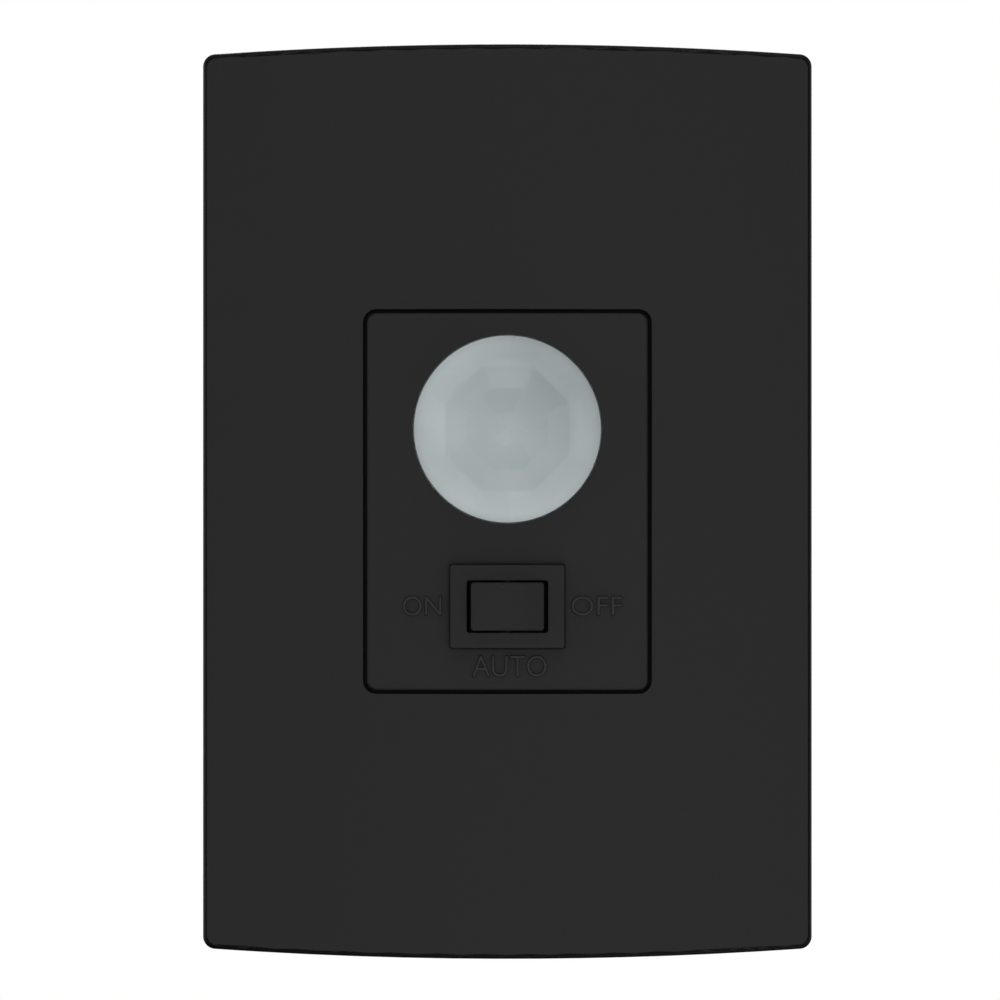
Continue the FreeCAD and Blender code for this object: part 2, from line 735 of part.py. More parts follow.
def make_spring(radius, wire, turns, y):
    """Wound spring along Y: one tube along short arcs, a quarter turn each."""
    low, high = y[0] + wire / 2, y[1] - wire / 2
    steps = 4 * turns

    def at(step):
        angle = step * math.pi / 2
        along = low + (high - low) * step / steps
        return V(radius * math.cos(angle), along, switch_z + radius * math.sin(angle))

    arcs = [Part.Arc(at(n), at(n + 0.5), at(n + 1)).toShape() for n in range(steps)]
    path = Part.Wire(arcs)
    first = arcs[0]
    circle = Part.Circle(at(0), first.tangentAt(first.FirstParameter), wire / 2).toShape()
    print("spring: least gap between turns", round((high - low) / turns - wire, 3))
    return path.makePipeShell([Part.Wire([circle])], True, False)


def make_contact_bridge():
    """See-saw strip with a contact under each end."""
    strip = slab((0, switch_z), 2 * bridge_half_length, bridge_width, (bridge_top, bridge_pivot))
    for side in (-1, 1):
        place = (side * contact_x, switch_z)
        strip = strip.fuse(rod(contact_radius, place, (bridge_top, bridge_pivot + contact_height)))
    return strip.removeSplitter()


def make_switch_contacts():
    """Three upright strips through the switch's floor. The middle one carries the bridge."""
    tilt = math.radians(rocker_tilt * bridge_ratio)
    closing = (contact_x + contact_radius) * math.sin(tilt) + contact_height
    side_top = bridge_pivot + closing + contact_gap
    solids = []
    for x, top in ((-contact_x, side_top), (0, bridge_pivot + contact_gap), (contact_x, side_top)):
        centre = (x, switch_z)
        strip = slab(centre, terminal_thickness, terminal_width, (top, board_front))
        tail = slab(centre, terminal_thickness, terminal_thickness, (board_front, board_rear + tail_length))
        board_holes.append((centre, terminal_thickness / 2 * math.sqrt(2) + pin_gap))
        solids.append(strip.fuse(tail).removeSplitter())
    return solids


def make_detector():
    """Infrared detector: spacer, header, can with its filter, and the element on its substrate."""
    centre = (0, lens_z)
    filter_front = dome_centre + can_wall
    header_front = dome_centre + can_height - header_thickness
    header_back = header_front + header_thickness
    leads = []
    for angle in (90, 210, 330):
        x = lead_circle * math.cos(math.radians(angle))
        z = lens_z + lead_circle * math.sin(math.radians(angle))
        leads.append(board_pin(lead_radius, (x, z), (header_front - lead_stub, board_rear + tail_length)))
    header = rod(header_radius, centre, (header_front, header_back))
    spacer = tube(header_radius, header_radius - spacer_wall, centre, (header_back, board_front))
    spacer = fuse(spacer, rod(header_radius, centre, (header_back, header_back + spacer_wall)))
    for lead in leads:
        place = (lead.CenterOfMass.x, lead.CenterOfMass.z)
        header = header.cut(rod(lead_radius, place, (header_front - past, header_back + past)))
        spacer = spacer.cut(rod(lead_radius + spacer_gap, place, (header_back - past, board_front + past)))
    can = tube(can_radius, can_radius - can_wall, centre, (dome_centre, header_front))
    top = rod(can_radius, centre, (dome_centre, filter_front))
    opening = slab(centre, filter_width - 2 * filter_rim, filter_height - 2 * filter_rim,
                   (dome_centre - past, filter_front + past))
    can = can.fuse(top).removeSplitter().cut(opening)
    window = slab(centre, filter_width, filter_height, (filter_front, filter_front + filter_thickness))
    element_front = filter_front + filter_thickness + element_depth
    element_back = element_front + element_thickness
    substrate = slab(centre, substrate_width, substrate_height, (element_back, header_front))
    pocket = slab(centre, substrate_width, substrate_height / 2,
                  (element_back + substrate_thickness, header_front))
    save("pir_spacer", spacer)
    save("pir_header", header)
    save("pir_can", can)
    save("pir_window", window)
    save("pir_substrate", substrate.cut(pocket))
    save("pir_element", slab(centre, element_width, element_height, (element_front, element_back)))
    save("pir_leads", *leads)


def make_photocell():
    """Daylight sensor: rounded clear body with a rim, on two leads."""
    centre = (photocell_x, photocell_z)
    back = board_front - photocell_standoff
    front = back - photocell_height
    dome_back = front + photocell_radius
    body = rod(photocell_radius, centre, (dome_back, back))
    body = body.fuse(Part.makeSphere(photocell_radius, V(centre[0], dome_back, centre[1])))
    body = fuse(body, rod(photocell_radius + photocell_rim, centre, (back - photocell_rim_height, back)))
    leads = [board_pin(lead_radius, (photocell_x, photocell_z + side * capacitor_pitch / 2),
                       (back, board_rear + tail_length)) for side in (-1, 1)]
    save("photocell", body)
    save("photocell_leads", *leads)


def add_leg(chip, centre, half_width, height, side, offset, along_z):
    """Add a bent leg to one side of a chip: out from mid height, down, and flat on the board."""
    thickness, reach = chip_foot, chip_leg_reach / 2
    middle = board_front - chip_foot - height / 2
    places = [(half_width + reach / 2 - thickness, reach, (middle - thickness, middle)),
              (half_width + reach - 1.5 * thickness, thickness, (middle - thickness, board_front)),
              (half_width + reach, reach, (board_front - thickness, board_front))]
    for across, run, y in places:
        if along_z:
            leg = slab((centre[0] + side * across, centre[1] + offset), run, chip_leg_width, y)
        else:
            leg = slab((centre[0] + offset, centre[1] + side * across), chip_leg_width, run, y)
        chip = chip.fuse(leg)
    return chip


def chip_body(centre, width, height, thickness):
    """Flat moulded body held just off the board, its front edges chamfered."""
    top = board_front - chip_foot - thickness
    body = slab(centre, width, height, (top, board_front - chip_foot))
    return body.makeChamfer(thickness / 8, front_edges(body, top))


def make_chip(centre, length, legs, along_z):
    """Flat chip on the board's front with a row of bent legs on two sides."""
    size = (chip_body_width, length) if along_z else (length, chip_body_width)
    chip = chip_body(centre, *size, chip_height)
    for n in range(legs):
        offset = (n - (legs - 1) / 2) * chip_leg_pitch
        for side in (-1, 1):
            chip = add_leg(chip, centre, chip_body_width / 2, chip_height, side, offset, along_z)
    return chip.removeSplitter()


def make_transistor():
    """Small flat transistor on the board's front, with two legs below and one above."""
    centre = (transistor_x, lens_z + transistor_rise)
    chip = chip_body(centre, transistor_length, transistor_width, transistor_height)
    for side, offset in ((-1, -transistor_pitch / 2), (-1, transistor_pitch / 2), (1, 0)):
        chip = add_leg(chip, centre, transistor_width / 2, transistor_height, side, offset, False)
    return chip.removeSplitter()


def make_passives(places, thickness):
    """Small rectangular parts on the board's front, with their long side along X."""
    return [slab(place, passive_length, passive_width, (board_front - thickness, board_front))
            for place in places]


def make_relay():
    """Load relay: coil standing on the yoke's foot, armature hinged on the yoke's upper edge."""
    centre = (relay_x, relay_z)
    inner_width = relay_width - 2 * relay_wall
    inner_height = relay_height - 2 * relay_wall
    back = board_rear + relay_depth
    cover = slab(centre, relay_width, relay_height, (board_rear, back), relay_wall)
    cover = cover.cut(slab(centre, inner_width, inner_height, (board_rear - past, back - relay_wall)))
    base_top = board_rear + relay_base_thickness
    base = slab(centre, inner_width - 2 * relay_fit, inner_height - 2 * relay_fit, (board_rear, base_top))

    low_z = relay_z - inner_height / 2
    yoke_z = low_z + yoke_inset
    foot_top = base_top + yoke_thickness
    bobbin_top = foot_top + bobbin_length
    core_z = yoke_z + yoke_thickness + bobbin_side / 2 + bobbin_gap
    pole_top = bobbin_top + pole_thickness
    hinge_y = pole_top + armature_gap - relay_fit
    half_yoke = yoke_width / 2
    across = (relay_x - half_yoke, relay_x + half_yoke)
    limb = block(across, (base_top, hinge_y), (yoke_z, yoke_z + yoke_thickness))
    foot = block(across, (base_top, foot_top), (yoke_z, core_z + half_yoke))
    core_place = (relay_x, core_z)
    yoke = limb.fuse(foot).removeSplitter()
    yoke = yoke.cut(rod(core_radius, core_place, (base_top - past, foot_top + past)))
    core = rod(core_radius, core_place, (base_top, bobbin_top))
    core = core.fuse(rod(pole_radius, core_place, (bobbin_top, pole_top))).removeSplitter()
    bobbin_outer = core_radius + relay_fit + bobbin_wall
    bobbin = rod(bobbin_outer, core_place, (foot_top, bobbin_top))
    for start in (foot_top, bobbin_top - bobbin_flange):
        bobbin = bobbin.fuse(slab(core_place, bobbin_side, bobbin_side, (start, start + bobbin_flange)))
    bobbin = bobbin.removeSplitter()
    bobbin = bobbin.cut(rod(core_radius + relay_fit, core_place, (foot_top - past, bobbin_top + past)))
    winding = tube(winding_radius, bobbin_outer, core_place,
                   (foot_top + bobbin_flange, bobbin_top - bobbin_flange))

    armature_y = (hinge_y + relay_fit, hinge_y + relay_fit + armature_thickness)
    armature = block(across, armature_y, (yoke_z, core_z + pole_radius + armature_overhang))
    hinge_z = yoke_z + yoke_thickness
    high_z = relay_z + inner_height / 2
    blade_z = (high_z - blade_gap - blade_thickness, high_z - blade_gap)
    rivet_z = blade_z[0] - rivet_radius - rivet_margin
    leaf_across = (relay_x - leaf_width / 2, relay_x + leaf_width / 2)
    leaf = block(leaf_across, (armature_y[1], armature_y[1] + leaf_thickness), (hinge_z, blade_z[0]))
    rivet_end = armature_y[1] - rivet_height
    moving = leaf.fuse(rod(rivet_radius, (relay_x, rivet_z), (rivet_end, armature_y[1]))).removeSplitter()
    closing = (blade_z[0] - hinge_z) * math.sin(math.radians(armature_tilt))
    fixed_top = rivet_end - closing - contact_gap
    shelf = (fixed_top - rivet_height - blade_thickness, fixed_top - rivet_height)
    fixed = block(leaf_across, shelf, (rivet_z - rivet_radius - rivet_margin, blade_z[1]))
    fixed = fixed.fuse(block(leaf_across, (base_top, shelf[1]), blade_z))
    fixed = fixed.fuse(rod(rivet_radius, (relay_x, rivet_z), (shelf[1], fixed_top)))
    pins = []
    pin_places = [(relay_x - half_yoke, hinge_z), (relay_x + half_yoke, hinge_z),
                  (relay_x, yoke_z), (relay_x, (blade_z[0] + blade_z[1]) / 2)]
    for place in pin_places:
        base = base.cut(rod(relay_pin_radius, place, (board_rear - past, base_top + past)))
        pins.append(board_pin(relay_pin_radius, place, (tail_front, base_top)))
    save("relay_cover", cover)
    save("relay_base", base)
    save("relay_yoke", yoke)
    save("relay_core", core)
    save("relay_bobbin", bobbin)
    save("relay_winding", winding)
    save("relay_armature", armature)
    save("relay_moving_contact", moving)
    save("relay_fixed_contact", fixed.removeSplitter())
    save("relay_pins", *pins)
    print("relay hinge: x", round(relay_x, 3), "y", round(hinge_y, 3), "z", round(hinge_z, 3))


def make_film_capacitor():
    """Block capacitor standing on the board between the relay and the trimmers."""
    relay_side = relay_x + relay_width / 2
    trimmer_edge = trimmer_x - trimmer_side / 2
    x = (relay_side + trimmer_edge) / 2
    top = post_z - post_radius - film_gap
    z = top - film_length / 2
    front = board_rear + film_standoff
    back = front + film_depth
    body = slab((x, z), film_width, film_length, (front, back), film_edge_radius)
    body = body.makeFillet(film_edge_radius, front_edges(body, back))
    for side in (-1, 1):
        place = (x, z + side * film_pitch / 2)
        body = body.fuse(board_pin(lead_radius, place, (tail_front, front + lead_bite)))
    return body.removeSplitter()


def make_can_capacitor(centre, radius, length):
    """Round capacitor standing on the board, with the groove pressed in over its seal."""
    back = board_rear + length
    body = rod(radius, centre, (board_rear, back))
    body = body.makeFillet(radius / 8, front_edges(body, back))
    groove_ring = Part.makeTorus(radius + groove_offset, groove_wire,
                                 V(centre[0], board_rear + groove_height, centre[1]), ALONG_Y)
    body = body.cut(groove_ring)
    for side in (-1, 1):
        place = (centre[0], centre[1] + side * capacitor_pitch / 2)
        body = body.fuse(board_pin(lead_radius, place, (tail_front, board_rear + lead_bite)))
    return body.removeSplitter()


def make_varistor():
    """Coated disc standing on edge, on two leads."""
    x = -(inner_half_width - relay_side_gap - varistor_thickness / 2)
    axis_y = board_rear + varistor_standoff + varistor_radius
    sides = (x - varistor_thickness / 2, x + varistor_thickness / 2)
    disc = rod_x(varistor_radius, sides, axis_y, varistor_z)
    disc = disc.makeFillet(varistor_thickness / 4, disc.Edges[0:1] + disc.Edges[2:3])
    for side in (-1, 1):
        place = (x, varistor_z + side * varistor_radius / 2)
        disc = disc.fuse(board_pin(lead_radius, place, (tail_front, axis_y - varistor_radius / 2)))
    return disc.removeSplitter()


def make_axial_part(x, z, radius, length):
    """Round part lying along Z, its two leads bent down into the board."""
    axis_y = board_rear + axial_standoff + radius
    bend = length / 2 + axial_lead
    body = rod_z(radius, x, axis_y, (z - length / 2, z + length / 2))
    body = body.makeFillet(radius / 5, [e for e in body.Edges if isinstance(e.Curve, Part.Circle)])
    body = body.fuse(rod_z(axial_lead_radius, x, axis_y, (z - bend, z + bend)))
    for side in (-1, 1):
        place = (x, z + side * bend)
        body = body.fuse(Part.makeSphere(axial_lead_radius, V(place[0], axis_y, place[1])))
        body = body.fuse(board_pin(axial_lead_radius, place, (tail_front, axis_y)))
    return body.removeSplitter()


def make_trimmer(z):
    """Trimmer body with a blind socket for its spindle."""
    centre = (trimmer_x, z)
    top = board_rear + trimmer_height
    body = slab(centre, trimmer_side, trimmer_side, (board_rear, top), trimmer_corner_radius)
    body = body.cut(rod(spindle_radius + spindle_gap, centre, (top - spindle_socket, top + past)))
    for x_step, z_step in ((-1, -1), (1, -1), (0, 1)):
        place = (trimmer_x + x_step * capacitor_pitch, z + z_step * capacitor_pitch)
        body = body.fuse(board_pin(lead_radius, place, (tail_front, board_rear + lead_bite)))
    return body.removeSplitter()


def make_spindle(z):
    """Long spindle from the trimmer's socket to the cover's back, with a collar and a slot."""
    centre = (trimmer_x, z)
    top = board_rear + trimmer_height
    end = cover_depth - spindle_recess
    spindle = rod(spindle_radius, centre, (top - spindle_socket + spindle_gap, end))
    spindle = spindle.fuse(rod(spindle_collar_radius, centre,
                               (top + spindle_gap, top + spindle_gap + spindle_collar)))
    slot = slab(centre, spindle_slot_width, 4 * spindle_radius, (end - spindle_slot_depth, end + past))
    return spindle.cut(slot).removeSplitter()


def make_terminal_pole(x):
    """One pole of the wire terminal: wire bore from below, clamp pocket and screw hole above it."""
    screw = (x, pole_bottom + clamp_screw_z)
    back = board_rear + pole_height
    clamp_low = wire_axis + wire_radius + clamp_floor
    pole = slab((x, (pole_bottom + pole_top) / 2), pole_pitch, pole_depth, (board_rear, back))
    pole = pole.cut(rod_z(wire_radius, x, wire_axis, (pole_bottom - past, pole_bottom + wire_bore_depth)))
    pole = pole.cut(rod(clamp_screw_radius + clamp_fit, screw, (wire_axis, back + past)))
    pocket = clamp_side + 2 * clamp_fit
    pole = pole.cut(slab(screw, pocket, pocket,
                         (clamp_low - clamp_fit, clamp_low + clamp_height + clamp_fit)))
    blade_z = pole_bottom + wire_bore_depth + blade_offset
    channel = block((x - blade_width / 2 - clamp_fit, x + blade_width / 2 + clamp_fit),
                    (board_rear - past, clamp_low + clamp_height + clamp_fit),
                    (blade_z - clamp_fit, blade_z + clamp_blade + clamp_fit))
    arm_way = block((x - blade_width / 2 - clamp_fit, x + blade_width / 2 + clamp_fit),
                    (clamp_low - clamp_fit, clamp_low + clamp_height + clamp_fit), (screw[1], blade_z))
    return pole.cut(channel).cut(arm_way).removeSplitter()


def make_clamp(x):
    """Brass clamp block above the wire bore, with a blade and a pin down to the board."""
    screw = (x, pole_bottom + clamp_screw_z)
    clamp_low = wire_axis + wire_radius + clamp_floor
    y = (clamp_low, clamp_low + clamp_height)
    blade_z = pole_bottom + wire_bore_depth + blade_offset
    across = (x - blade_width / 2, x + blade_width / 2)
    clamp = slab(screw, clamp_side, clamp_side, y)
    clamp = clamp.fuse(block(across, y, (screw[1], blade_z + clamp_blade)))
    clamp = clamp.fuse(block(across, (board_rear, y[1]), (blade_z, blade_z + clamp_blade)))
    pin = (x, blade_z + clamp_blade / 2)
    clamp = clamp.fuse(board_pin(clamp_blade / 2, pin, (tail_front, board_rear + lead_bite)))
    return clamp.removeSplitter().cut(rod(clamp_screw_radius + thread_gap, screw, (y[0] - past, y[1] + past)))


def make_clamp_screw(x):
    """Slotted screw in the clamp, its tip just above the wire bore."""
    screw = (x, pole_bottom + clamp_screw_z)
    end = board_rear + pole_height - clamp_screw_recess
    body = rod(clamp_screw_radius, screw, (wire_axis + wire_radius + clamp_floor / 3, end))
    return body.cut(slab(screw, screw_slot, 4 * clamp_screw_radius, (end - clamp_slot_depth, end + past)))


def make_board():
    """Rectangular board with a hole for each lead and screw."""
    board = slab((0, 0), 2 * (inner_half_width - board_gap), 2 * (inner_half_height - board_gap),
                 (board_front, board_rear), board_corner_radius)
    drills = [rod(radius, centre, (board_front - past, board_rear + past)) for centre, radius in board_holes]
    for centre in board_screw_places + cover_screw_places:
        drills.append(rod(screw_radius + screw_hole_gap, centre, (board_front - past, board_rear + past)))
    return board.cut(drills)


# Plate, frame and module shells
save("wall_plate", make_wall_plate())
save("support_frame", make_support_frame())
save("module_front", make_module_front())
save("rear_cover", make_rear_cover())
save("fresnel_lens", make_lens())
ring_outer = lens_seat_radius - seat_gap / 2
save("lens_retainer", tube(ring_outer, ring_outer - retainer_width, (0, lens_z),
                           (lens_flange_back, retainer_back)))
save("module_screws", *[make_screw((0, end * module_screw_z), flange_front, flange_thickness + screw_grip, -1)
                        for end in (-1, 1)])
save("board_screws", *[make_screw(centre, board_rear, board_thickness + screw_grip, 1)
                       for centre in board_screw_places])
save("cover_screws", *[make_screw(centre, board_rear + post_seat, post_seat + board_thickness + screw_grip, 1)
                       for centre in cover_screw_places])

# Rocker switch
save("rocker_frame", make_rocker_frame())
save("rocker_cap", make_rocker_cap())
save("switch_plunger", make_plunger())
save("switch_spring", make_spring(spring_radius, spring_wire, spring_turns,
                                  (spring_seat, plunger_head - spring_gap)))
save("contact_bridge", make_contact_bridge())
save("switch_contacts", *make_switch_contacts())

# Sensors and chips on the board's front
make_detector()
make_photocell()
save("sensor_amplifier", make_chip((amplifier_x, lens_z), amplifier_length, 7, True))
save("microcontroller", make_chip((0, controller_z), controller_length, 4, False))
save("driver_transistor", make_transistor())
top_row = lens_z + header_radius + passive_pitch
side_row = lens_z - header_radius - passive_pitch
resistor_places = [(x, z) for x in passive_columns for z in (side_row, side_row - passive_pitch)]
capacitor_places = [(side * capacitor_x, top_row) for side in (-1, 1)]
capacitor_places += [(photocell_x, photocell_z + side * capacitor_from_photocell) for side in (-1, 1)]
save("chip_resistors", *make_passives(resistor_places, resistor_thickness))
save("chip_capacitors", *make_passives(capacitor_places, capacitor_thickness))

# Power parts on the board's rear
make_relay()
save("film_capacitor", make_film_capacitor())
smoothing_x = inner_half_width - trimmer_side_gap - smoothing_radius
smoothing_z = inner_half_height - relay_top_gap - smoothing_radius
save("smoothing_capacitor", make_can_capacitor((smoothing_x, smoothing_z), smoothing_radius,
                                               smoothing_length))
save("rail_capacitor", make_can_capacitor((rail_x, rail_z), rail_radius, rail_length))
save("varistor", make_varistor())
save("fusible_resistor", make_axial_part(resistor_x, resistor_z, resistor_radius, resistor_length))
save("rectifier_diodes", *[make_axial_part((n - 1.5) * diode_pitch, diode_z, diode_radius, diode_length)
                           for n in range(4)])
for name, z in (("time", time_trimmer_z), ("light", light_trimmer_z)):
    save(f"{name}_trimmer", make_trimmer(z))
    save(f"{name}_spindle", make_spindle(z))

# Wire terminal
for name, x in zip(("line", "neutral", "load"), pole_places):
    save(f"terminal_pole_{name}", make_terminal_pole(x))
save("terminal_clamps", *[make_clamp(x) for x in pole_places])
save("terminal_screws", *[make_clamp_screw(x) for x in pole_places])
save("main_board", make_board())

print("mounts: screw spacing", box_screw_spacing, "slot", box_slot_length, "wire axis y", round(wire_axis, 3),
      "pole bottom z", round(pole_bottom, 3), "poles x", pole_places)
print("joints: rocker pivot y", round(rocker_pivot, 3), "z", round(switch_z, 3), "bridge pivot y",
      round(bridge_pivot, 3), "spindles x", round(trimmer_x, 3), "z", time_trimmer_z, light_trimmer_z)
print("lens z", round(lens_z, 3), "dome centre y", round(dome_centre, 3), "apex y",
      round(face_front - lens_rise, 3))
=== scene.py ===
"""Looks of a wall-mounted occupancy sensor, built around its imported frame, in metres.

The sections follow the object from the wall outwards: frame, rear cover, terminal, board and its parts,
detector, rocker switch, front shell with its lettering, lens, and the wall plate that covers them.
"""

import bmesh
import bpy
import json
import math
from mathutils import Matrix, Vector

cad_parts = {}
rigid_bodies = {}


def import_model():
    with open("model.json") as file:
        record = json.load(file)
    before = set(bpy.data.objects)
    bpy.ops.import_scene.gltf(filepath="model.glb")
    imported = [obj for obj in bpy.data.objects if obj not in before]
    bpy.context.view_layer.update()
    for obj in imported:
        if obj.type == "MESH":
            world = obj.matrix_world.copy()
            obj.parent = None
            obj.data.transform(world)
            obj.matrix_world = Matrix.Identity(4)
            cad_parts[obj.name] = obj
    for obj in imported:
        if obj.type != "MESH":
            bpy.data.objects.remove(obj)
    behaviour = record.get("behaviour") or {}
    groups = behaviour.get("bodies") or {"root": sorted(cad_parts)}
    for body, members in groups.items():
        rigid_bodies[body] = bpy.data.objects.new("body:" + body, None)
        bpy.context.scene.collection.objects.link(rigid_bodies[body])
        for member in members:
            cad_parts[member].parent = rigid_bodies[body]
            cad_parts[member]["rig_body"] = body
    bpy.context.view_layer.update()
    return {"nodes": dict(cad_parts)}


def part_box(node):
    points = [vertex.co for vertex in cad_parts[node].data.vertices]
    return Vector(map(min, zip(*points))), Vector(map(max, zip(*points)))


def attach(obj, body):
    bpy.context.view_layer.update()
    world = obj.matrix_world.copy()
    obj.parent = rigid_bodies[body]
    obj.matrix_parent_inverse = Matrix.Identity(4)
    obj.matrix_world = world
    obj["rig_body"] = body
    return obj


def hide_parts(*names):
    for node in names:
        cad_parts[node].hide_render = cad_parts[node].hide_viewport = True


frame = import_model()
mm = 0.001
hair = 0.01 * mm


# Studio
# A pale floor, a white surround and soft square lamps, each with its place and side in metres and its power
# in watts. The camera looks straight at the plate from one metre, a little to the left of its middle, and
# takes in a field of 131 mm at the plate's rim.
def linear(colour):
    """Linear RGBA of an sRGB hex colour."""
    parts = [int(colour[i:i + 2], 16) / 255 for i in (1, 3, 5)]
    return (*[c / 12.92 if c <= 0.04045 else ((c + 0.055) / 1.055) ** 2.4 for c in parts], 1.0)


def add_node(tree, kind, values=None, links=None, **settings):
    """Add a node to a tree, set its fields, fill its inputs and link what feeds them."""
    node = tree.nodes.new(kind)
    for name, value in settings.items():
        setattr(node, name, value)
    for key, value in (values or {}).items():
        node.inputs[key].default_value = value
    for key, source in (links or {}).items():
        tree.links.new(source, node.inputs[key])
    return node


def place(name, data):
    """Put an object that holds the data into the scene."""
    piece = bpy.data.objects.new(name, data)
    bpy.context.scene.collection.objects.link(piece)
    return piece


rim_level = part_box("wall_plate")[0].y + 2.0 * mm
camera_distance = 1.0
camera_left = 0.97 * mm
camera_height = 0.2 * mm
field_width = 131.36 * mm
camera_data = bpy.data.cameras.new("camera")
camera_data.sensor_width = 36
camera_data.lens = camera_data.sensor_width * camera_distance / field_width
camera = place("camera", camera_data)
camera.location = (-camera_left, rim_level - camera_distance, camera_height)
camera.rotation_euler = (math.radians(90), 0, 0)
bpy.context.scene.camera = camera
bpy.context.scene.view_settings.view_transform = "Standard"

floor_level = -1.6
floor_radius = 2.6
floor_mesh = bpy.data.meshes.new("floor")
floor_form = bmesh.new()
bmesh.ops.create_circle(floor_form, cap_ends=True, segments=96, radius=floor_radius,
                        matrix=Matrix.Translation((0, 0, floor_level)))
floor_form.to_mesh(floor_mesh)
floor_form.free()
floor = place("floor", floor_mesh)
floor_paint = bpy.data.materials.new("matt_white_paint")
floor_paint.use_nodes = True
floor_shader = floor_paint.node_tree.nodes["Principled BSDF"]
floor_shader.inputs["Base Color"].default_value = linear("#F0F0EE")
floor_shader.inputs["Roughness"].default_value = 0.9
floor_ray = add_node(floor_paint.node_tree, "ShaderNodeLightPath")
floor_glow = add_node(floor_paint.node_tree, "ShaderNodeEmission", {"Color": linear("#F4F4F2")},
                      {"Strength": floor_ray.outputs["Is Camera Ray"]})
floor_share = add_node(floor_paint.node_tree, "ShaderNodeMixShader", {"Fac": 0.65},
                       {1: floor_shader.outputs[0], 2: floor_glow.outputs[0]})
floor_paint.node_tree.links.new(floor_share.outputs[0],
                                floor_paint.node_tree.nodes["Material Output"].inputs["Surface"])
floor_mesh.materials.append(floor_paint)

surround = bpy.data.worlds.new("surround")
bpy.context.scene.world = surround
surround.use_nodes = True
surround.node_tree.nodes.clear()
sky_tree = surround.node_tree
soft_light = add_node(sky_tree, "ShaderNodeBackground", {"Color": linear("#F4F6F8"), "Strength": 0.15})
white_sky = add_node(sky_tree, "ShaderNodeBackground", {"Color": linear("#FFFFFF"), "Strength": 1.0})
ray = add_node(sky_tree, "ShaderNodeLightPath")
shiny = add_node(sky_tree, "ShaderNodeMath", operation="MAXIMUM",
                 links={0: ray.outputs["Is Glossy Ray"], 1: ray.outputs["Is Transmission Ray"]})
seen = add_node(sky_tree, "ShaderNodeMath", operation="MAXIMUM",
                links={0: ray.outputs["Is Camera Ray"], 1: shiny.outputs[0]})
mixed = add_node(sky_tree, "ShaderNodeMixShader",
                 links={0: seen.outputs[0], 1: soft_light.outputs[0], 2: white_sky.outputs[0]})
add_node(sky_tree, "ShaderNodeOutputWorld", links={"Surface": mixed.outputs[0]})

lamps = {
    "lamp_below": ((0.2, -0.5, -1.15), 0.7, 4.9),
    "lamp_below_right": ((0.95, -0.6, -0.75), 0.7, 4.6),
    "lamp_left": ((-1.2, -0.45, 0.0), 0.7, 4.7),
    "lamp_above": ((0.1, -0.5, 1.1), 0.7, 6.0),
    "lamp_front": ((0.1, -1.3, -0.2), 0.9, 7.2),
    "lamp_behind": ((0.1, 1.2, 0.5), 0.9, 8.0),
    "lamp_behind_left": ((-1.1, 0.4, 0.1), 0.7, 5.0),
    "lamp_behind_right": ((1.1, 0.4, 0.1), 0.7, 5.0),
}
for name, (spot, size, power) in lamps.items():
    lamp_data = bpy.data.lights.new(name, "AREA")
    lamp_data.size = size
    lamp_data.energy = power
    lamp = place(name, lamp_data)
    lamp.location = spot
    lamp.rotation_euler = (-Vector(spot)).to_track_quat("-Z", "Y").to_euler()


# Support frame
# A flat frame that two screws hold to the wall box. Glass-filled nylon, moulded, with a dry and slightly
# cloudy surface. The module is screwed to it and the wall plate snaps into its four windows.
def surface(name, dark, light, patch, rough, grain, depth, **shader_values):
    """Material with soft patches between two colours, uneven gloss and a fine raised grain. Sizes in mm."""
    material = bpy.data.materials.new(name)
    material.use_nodes = True
    tree = material.node_tree
    shader = tree.nodes["Principled BSDF"]
    for key, value in shader_values.items():
        shader.inputs[key.replace("_", " ")].default_value = value
    where = add_node(tree, "ShaderNodeTexCoord")
    cloud = add_node(tree, "ShaderNodeTexNoise", {"Scale": 1000 / patch, "Detail": 3.0},
                     {"Vector": where.outputs["Object"]})
    ramp = add_node(tree, "ShaderNodeValToRGB", links={"Fac": cloud.outputs["Fac"]})
    ramp.color_ramp.elements[0].color = linear(dark)
    ramp.color_ramp.elements[1].color = linear(light)
    ramp.color_ramp.elements[0].position = 0.35
    ramp.color_ramp.elements[1].position = 0.65
    tree.links.new(ramp.outputs["Color"], shader.inputs["Base Color"])
    gloss = add_node(tree, "ShaderNodeMapRange", {"To Min": rough[0], "To Max": rough[1]},
                     {"Value": cloud.outputs["Fac"]})
    tree.links.new(gloss.outputs["Result"], shader.inputs["Roughness"])
    grit = add_node(tree, "ShaderNodeTexNoise", {"Scale": 1000 / grain, "Detail": 2.0},
                    {"Vector": where.outputs["Object"]})
    bump = add_node(tree, "ShaderNodeBump", {"Strength": 1.0, "Distance": depth * mm},
                    {"Height": grit.outputs["Fac"]})
    tree.links.new(bump.outputs["Normal"], shader.inputs["Normal"])
    return material


merge_distance = 0.0005 * mm


def finished(node, name, material, sharp=30.0):
    """Stand a merged, smooth-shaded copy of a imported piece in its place, on the same body."""
    source = frame["nodes"][node]
    mesh = source.data.copy()
    mesh.name = name
    if "custom_normal" in mesh.attributes:
        mesh.attributes.remove(mesh.attributes["custom_normal"])
    form = bmesh.new()
    form.from_mesh(mesh)
    bmesh.ops.remove_doubles(form, verts=form.verts, dist=merge_distance)
    form.to_mesh(mesh)
    form.free()
    mesh.materials.clear()
    mesh.materials.append(material)
    mesh.polygons.foreach_set("use_smooth", [True] * len(mesh.polygons))
    mesh.set_sharp_from_angle(angle=math.radians(sharp))
    piece = place(name, mesh)
    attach(piece, source["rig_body"])
    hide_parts(node)
    return piece


frame_nylon = surface("glass_filled_nylon", "#1C1D1F", "#242527", 6.0, (0.5, 0.68), 0.5, 0.012, IOR=1.53)
finished("support_frame", "mounting_frame", frame_nylon)


